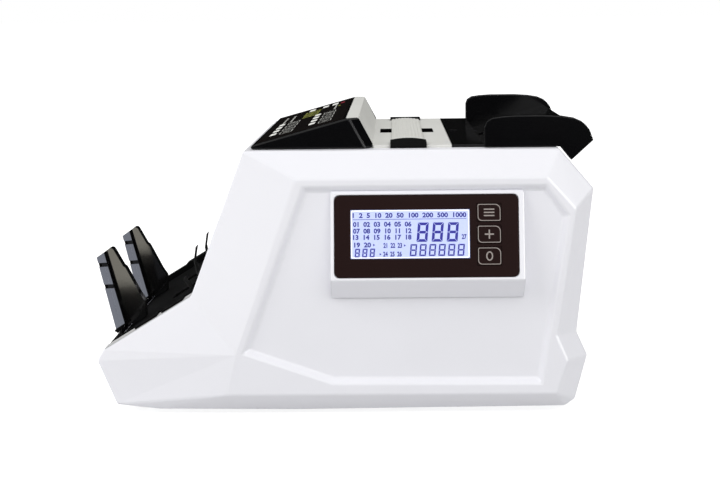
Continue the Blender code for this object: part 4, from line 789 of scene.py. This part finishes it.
marks = []
for level, first, count in mark_lines:
    for k in range(count):
        left = first + mark_step * k
        marks.append(bar((left, level), (left + mark_length, level), mark_width))
on_panel = ("machine_body", "overlay_film")
printed("front_key_symbols", front_plane, sign_fills, sign_rings, legend_ink, *on_panel)
printed("front_white_labels", front_plane, panel_spots(white_labels), [], white_ink, *on_panel)
printed("front_red_mark", front_plane, panel_spots(red_mark), [], red_ink, *on_panel)
printed("front_green_mark", front_plane, panel_spots(green_mark), [], olive_segment, *on_panel)
printed("front_legend_marks", front_plane, marks, [], legend_ink, *on_panel)
window_plane = front_plane @ Matrix.Translation((*window_middle, -window_sink))
printed(
    "front_window_figures",
    window_plane,
    figure_rows(window_rows),
    [],
    olive_segment,
    "machine_body",
    "display_module",
)


# Thin trim, each piece from the corners of the solid that carries it: the display's chin, the lip
# and the strips of the stacker, the liner of the finger well, and the fingers' pads, rails and notch
# marks. The lip's front edge and the dark lines and fills in the fingers' notches are painted shade.

trim_gap = 0.05 * mm


def spots_of(node):
    """The node's corners."""
    shape = frame["nodes"][node]
    return [shape.matrix_world @ vertex.co for vertex in shape.data.vertices]


def between(name, first, last, material, slot):
    """A closed solid between two outlines that have as many corners."""
    bm = bmesh.new()
    ends = [[bm.verts.new(corner) for corner in outline] for outline in (first, last)]
    bm.faces.new(ends[0])
    bm.faces.new(ends[1])
    count = len(first)
    for k in range(count):
        n = (k + 1) % count
        bm.faces.new((ends[0][k], ends[0][n], ends[1][n], ends[1][k]))
    bmesh.ops.recalc_face_normals(bm, faces=bm.faces[:])
    return placed(name, bm, Matrix(), material, "machine_body")


def sheet_along_x(name, line, thickness, low_x, high_x, material, slot):
    """A thin sheet over a line of (y, z) points, its thickness to the line's left."""
    shifted = []
    for k, point in enumerate(line):
        before = Vector(line[max(k - 1, 0)])
        after = Vector(line[min(k + 1, len(line) - 1)])
        run = (after - before).normalized()
        shifted.append((point[0] - run.y * thickness, point[1] + run.x * thickness))
    section = list(line) + shifted[::-1]
    ends = [[(x, y, z) for y, z in section] for x in (low_x, high_x)]
    return between(name, *ends, material, slot)


def chin_skirt():
    """The display's chin carried further down the cover, as a wedge under the bezel."""
    drop, gap = 4.3 * mm, 0.1 * mm
    set_back, set_down, foot = 0.4 * mm, 0.7 * mm, 0.6 * mm
    spots = spots_of("side_display_bezel")
    front_y, rear_y = min(s.y for s in spots), max(s.y for s in spots)
    outer = max(spots, key=lambda s: s.x)
    low = min(spots, key=lambda s: s.z)
    section = [
        (outer.x - set_back, outer.z - set_down - gap),
        (low.x + gap, low.z - gap),
        (low.x + gap, low.z - drop),
        (low.x + foot, low.z - drop),
    ]
    ends = [[(x, y, z) for x, z in section] for y in (front_y, rear_y)]
    between("display_chin_skirt", *ends, white_abs, "white_abs")


def front_lip():
    """A black lip over the toe cover's upper edge; its front edge is painted shade for the shadow gap
    there.
    """
    wall, overhang, lift_share = 0.3 * mm, 0.8 * mm, 1.2
    lowest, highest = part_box("toe_cover")
    heights = {}
    for spot in spots_of("toe_cover"):
        heights.setdefault((round(spot.z, 5), round(spot.y, 5)), Vector((spot.y, spot.z)))
    top, rear, foot = [heights[key] for key in sorted(heights, reverse=True)[:3]]
    down = (foot - top).normalized()
    back = (rear - top).normalized()
    lift = -(down + back).normalized() * lift_share * trim_gap
    line = [top + lift + down * overhang, top + lift, rear + lift]
    ends = (lowest.x + trim_gap, highest.x - trim_gap)
    sheet_along_x("stacker_front_lip", line, wall, *ends, black_abs, "black_abs")


def rim_strips():
    """A grey strip on each side cover's rim, along the tabs of the stacker's tray."""
    wall, lift = 0.2 * mm, 0.25 * mm
    inner_gap, outer_gap = 0.6 * mm, 1.2 * mm
    front_share, rear_share = 0.66, 0.15
    tab_band = 0.1 * mm
    lowest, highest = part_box("toe_cover")
    middle = (lowest.x + highest.x) / 2
    spots = spots_of("stacker_tray")
    reach = max(spot.x for spot in spots)
    tabs = sorted({(round(s.y, 6), round(s.z, 6)) for s in spots if s.x > reach - tab_band})
    start, end = Vector(tabs[1]), Vector(tabs[-1])
    slope = (end - start).normalized()
    length = (end - start).length
    raised = Vector((slope.y, -slope.x)) * lift
    line = [start - slope * length * front_share + raised, end + slope * length * rear_share + raised]
    inner, outer = highest.x + inner_gap, reach + outer_gap
    for side, name in ((1, "right"), (-1, "left")):
        ends = sorted((middle + side * (inner - middle), middle + side * (outer - middle)))
        sheet_along_x("stacker_rim_strip_" + name, line, wall, *ends, rim_strip_grey, "grey_abs")


def well_liner():
    """A black film on the top cover's cut edge round the finger well."""
    well_wall, film, corner = 2.0 * mm, 0.25 * mm, 0.02 * mm
    under_strap = 0.3 * mm
    lowest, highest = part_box("finger_well")
    strap_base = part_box("carry_strap")[0].z
    middle = (lowest + highest) / 2
    width = highest.x - lowest.x - 2 * well_wall
    length = highest.y - lowest.y - 2 * well_wall
    ring = (
        round_rectangle((0, 0), width, length, (corner,) * 4),
        round_rectangle((0, 0), width - 2 * film, length - 2 * film, (corner,) * 4),
    )
    plane = Matrix.Translation((middle.x, middle.y, highest.z))
    height = strap_base - under_strap - highest.z - trim_gap
    place = ("machine_body", "black_abs")
    printed("finger_well_liner", plane, [], [ring], black_abs, *place, base=0.0, top=height)


# The fingers' solids: a web behind a wider front strip that is deeper at its base, with slanted front
# corners and two notches across its front. The rails carry the slanted corners on. The two depths
# of strip and rail, back from the front, are at the finger's base and top.
heel_band = (5.0 * mm, 7.5 * mm)
web_step = 3.0 * mm
strip_depths = (7.7 * mm, 5.0 * mm)
rail_depths = (8.4 * mm, 7.0 * mm)
slant = 4.6 * mm
notch_shares = (0.595, 0.895)
notch_height = 2.6 * mm
foot_wall, toe_wall = 1.4 * mm, 1.2 * mm
toe_rear, toe_front = 3.0 * mm, 0.5 * mm


def finger_trim(side_name):
    """A finger's foot and toe pads, its edge rails, and painted shade in its notches: dark lines and
    fills.
    """
    node = "stacker_finger_" + side_name
    spots = spots_of(node)
    low_x, high_x = min(spot.x for spot in spots), max(spot.x for spot in spots)
    base = min(spots, key=lambda spot: spot.z)
    tip = min(spots, key=lambda spot: spot.y)
    heels = [spot for spot in spots if heel_band[0] < spot.z - base.z < heel_band[1]]
    heel = max(heels, key=lambda spot: spot.y)
    base, tip, heel = [Vector((spot.y, spot.z)) for spot in (base, tip, heel)]
    rise = tip - base
    up = rise.normalized()
    inward = Vector((up.y, -up.x))
    under = (heel - base).normalized()
    down = Vector((under.y, -under.x))
    between_sides = (low_x + trim_gap, high_x - trim_gap)

    foot = [heel + down * trim_gap, base + down * trim_gap]
    sheet_along_x(node + "_foot_pad", foot, foot_wall, *between_sides, textured_black_and_notch_shade, "black_abs")
    sunk = down * (foot_wall + trim_gap)
    toe = [base + under * toe_rear + sunk, base + under * toe_front + sunk]
    sheet_along_x(node + "_toe_pad", toe, toe_wall, *between_sides, textured_black_and_notch_shade, "black_abs")

    edges = ((-1, low_x, "left"), (1, high_x, "right"))
    end_slope = under.dot(up) / under.dot(inward)
    ends = (
        (trim_gap, strip_depths[0], rail_depths[0]),
        (rise.length - 4 * trim_gap, strip_depths[1], rail_depths[1]),
    )
    for side, edge, edge_name in edges:
        side_gap = side * trim_gap
        web = edge - side * web_step
        outlines = []
        for along, strip, depth in ends:
            section = (
                (edge + side_gap, slant + trim_gap),
                (edge + side * (depth - slant), depth),
                (web + side_gap, depth),
                (web + side_gap, strip + trim_gap),
                (edge + side_gap, strip + trim_gap),
            )
            outline = []
            for x, inside in section:
                spot = base + up * (along + inside * end_slope) + inward * inside
                outline.append((x, spot.x, spot.y))
            outlines.append(outline)
        between(node + "_edge_rail_" + edge_name, *outlines, finger_abs, "black_abs")

    # Dark lines across the slanted corners: painted shade where the notches cut in
    line_start, line_corner = 4.0 * mm, 0.05 * mm
    for side, edge, edge_name in edges:
        axis = -side * Vector((0, up.x, up.y))
        across = Vector((side, inward.x, inward.y)).normalized()
        turn = Matrix((axis, across, axis.cross(across))).transposed().to_4x4()
        plane = Matrix.Translation((edge - side * slant, base.x, base.y)) @ turn
        lines = []
        for share in notch_shares:
            depth = rail_depths[0] + (rail_depths[1] - rail_depths[0]) * share
            line_end = depth * math.sqrt(2)
            middle = (-side * rise.length * share, (line_start + line_end) / 2)
            length = line_end - line_start
            lines.append(round_rectangle(middle, notch_height, length, (line_corner,) * 4))
        name = node + "_notch_shade_line_" + edge_name
        printed(name, plane, lines, [], textured_black_and_notch_shade, "machine_body", "black_abs")

    # A matte black fill, painted shade for the notch's depth, runs from near the front to its floor,
    # so its thickness runs inward
    shade_fill_half, shade_fill_sink, shade_fill_wall, shade_fill_short = 1.27 * mm, 0.3 * mm, -2.66 * mm, 0.1 * mm
    shade_fill_end = high_x - slant - shade_fill_short
    for number, share in enumerate(notch_shares, start=1):
        middle = base + rise * share + inward * shade_fill_sink
        line = [middle - up * shade_fill_half, middle + up * shade_fill_half]
        name = node + "_notch_shade_fill_" + str(number)
        sheet_along_x(name, line, shade_fill_wall, low_x + trim_gap, shade_fill_end, textured_black_and_notch_shade, "black_abs")


chin_skirt()
front_lip()
rim_strips()
well_liner()
finger_trim("left")
finger_trim("right")


# Floor, light and camera

floor_reach = 40.0
floor_glow = 0.78
sky_fill = 0.7
lamp_target = (0, 0, 0.08)
# Softboxes, as name, place, width, height and watts
softboxes = (
    ("key_softbox", (1.0, -1.2, 1.2), 1.0, 1.0, 8.0),
    ("fill_softbox", (1.5, 0.6, 1.2), 1.2, 1.0, 7.5),
    ("front_softbox", (0.1, -1.6, 0.35), 1.0, 0.6, 3.0),
    ("top_softbox", (-0.7, 0.1, 1.6), 1.4, 1.4, 3.2),
)


def seen_directly(owner):
    """One for rays that show the background itself, in the picture or in a reflection."""
    rays = add(owner, "LightPath")
    seen = add(owner, "Math", {0: rays.outputs["Is Camera Ray"], 1: rays.outputs["Is Glossy Ray"]})
    return add(owner, "Math", {0: seen.outputs[0], 1: rays.outputs["Is Transmission Ray"]}).outputs[0]


def floor():
    """A pale studio floor that runs out of sight; the camera sees it white, shadow apart."""
    mesh = bpy.data.meshes.new("studio_floor")
    bm = bmesh.new()
    bmesh.ops.create_grid(bm, x_segments=4, y_segments=4, size=floor_reach)
    bm.to_mesh(mesh)
    bm.free()
    made = bpy.data.objects.new("studio_floor", mesh)
    bpy.context.scene.collection.objects.link(made)
    material = bpy.data.materials.new("pale_paper_floor")
    material.use_nodes = True
    material.node_tree.nodes.clear()
    glow = add(material, "Math", {0: seen_directly(material), 1: floor_glow}, operation="MULTIPLY")
    paper = add(material, "BsdfDiffuse", {"Color": colour("D0D0D0")})
    white = add(material, "Emission", {"Strength": glow.outputs[0]})
    both = add(material, "AddShader", {0: paper.outputs[0], 1: white.outputs[0]})
    add(material, "OutputMaterial", {"Surface": both.outputs[0]})
    mesh.materials.append(material)


def lying(low, high, height):
    """The corners of a card that lies flat, from its low and high (x, y) corners."""
    return [
        (low[0], low[1], height),
        (high[0], low[1], height),
        (high[0], high[1], height),
        (low[0], high[1], height),
    ]


def standing(start, end, low, high):
    """The corners of an upright card over the line from start to end."""
    return [(*start, low), (*end, low), (*end, high), (*start, high)]


def studio_card(name, corners, code, glow=0.0):
    """A card that only reflections show: dark felt, or lit, as a studio shapes gloss with."""
    mesh = bpy.data.meshes.new(name)
    mesh.from_pydata(corners, [], [tuple(range(len(corners)))])
    made = bpy.data.objects.new(name, mesh)
    bpy.context.scene.collection.objects.link(made)
    card = bpy.data.materials.new(name)
    card.use_nodes = True
    card.node_tree.nodes.clear()
    if glow > 0:
        face = add(card, "Emission", {"Color": colour(code), "Strength": glow})
    else:
        face = add(card, "BsdfDiffuse", {"Color": colour(code)})
    add(card, "OutputMaterial", {"Surface": face.outputs[0]})
    mesh.materials.append(card)
    made.visible_camera = False
    made.visible_diffuse = False
    made.visible_transmission = False
    made.visible_shadow = False


def softbox(name, place, width, height, power):
    """A rectangular lamp that faces the machine."""
    light = bpy.data.lights.new(name, "AREA")
    light.shape = "RECTANGLE"
    light.size = width
    light.size_y = height
    light.energy = power
    made = bpy.data.objects.new(name, light)
    bpy.context.scene.collection.objects.link(made)
    made.location = place
    made.rotation_euler = (Vector(lamp_target) - Vector(place)).to_track_quat("-Z", "Y").to_euler()


def studio_light():
    """A soft sky at a plain level, white where it is seen, and the softboxes."""
    world = bpy.data.worlds.new("white_studio")
    bpy.context.scene.world = world
    world.use_nodes = True
    world.node_tree.nodes.clear()
    levels = {"Value": seen_directly(world), "To Min": sky_fill, "To Max": 1.0}
    strength = add(world, "MapRange", levels)
    sky = add(world, "Background", {"Color": colour("FFFFFF"), "Strength": strength.outputs[0]})
    add(world, "OutputWorld", {"Surface": sky.outputs[0]})
    for lamp in softboxes:
        softbox(*lamp)


# The camera's place in mm, its turns in degrees and its lens in mm, solved from the covers' edges
camera_place = (923.67, 35.53, 234.3)
camera_turns = (1.333, 9.097, -0.692)
camera_lens = 71.21
sensor_width = 36.0
sight_limit = 100.0


def photograph_camera():
    """Stands where the photograph was taken from."""
    camera = bpy.data.cameras.new("photograph_camera")
    camera.sensor_fit = "HORIZONTAL"
    camera.sensor_width = sensor_width
    camera.lens = camera_lens
    camera.clip_end = sight_limit
    made = bpy.data.objects.new("photograph_camera", camera)
    bpy.context.scene.collection.objects.link(made)
    yaw, pitch, roll = (math.radians(angle) for angle in camera_turns)
    forward = Vector(
        (-math.cos(yaw) * math.cos(pitch), -math.sin(yaw) * math.cos(pitch), -math.sin(pitch))
    )
    right = forward.cross(Vector((0, 0, 1))).normalized()
    up = right.cross(forward)
    turned_right = math.cos(roll) * right + math.sin(roll) * up
    turned_up = -math.sin(roll) * right + math.cos(roll) * up
    turn = Matrix((turned_right, turned_up, -forward)).transposed().to_4x4()
    made.matrix_world = Matrix.Translation(Vector(camera_place) * mm) @ turn
    bpy.context.scene.camera = made


floor()
# Black felt on the far, rear and camera sides keeps the glossy black dark; the lit cards give the
# fingers and the rear corner of the control housing their light faces and line
dark, warm, cool, pale = "141414", "F4EFE0", "DDE3F4", "FFFFFF"
studio_card("far_side_flag", standing((-1.4, -3.0), (-1.4, 3.0), 0.0, 2.4), dark)
studio_card("rear_side_flag", standing((-1.2, 1.9), (1.0, 1.9), 0.0, 1.6), dark)
studio_card("camera_side_flag", lying((0.15, -3.0), (5.0, 3.0), 0.002), dark)
studio_card("warm_card", lying((0.36, -0.6), (0.7, -0.16), 0.004), warm, 4.6)
studio_card("cool_card", lying((-0.3, -0.65), (0.15, -0.2), 0.004), cool, 2.7)
studio_card("corner_card", standing((1.24, 1.11), (1.19, 1.16), 0.05, 0.8), pale, 160.0)
studio_light()
photograph_camera()
bpy.context.scene.view_settings.view_transform = "Standard"
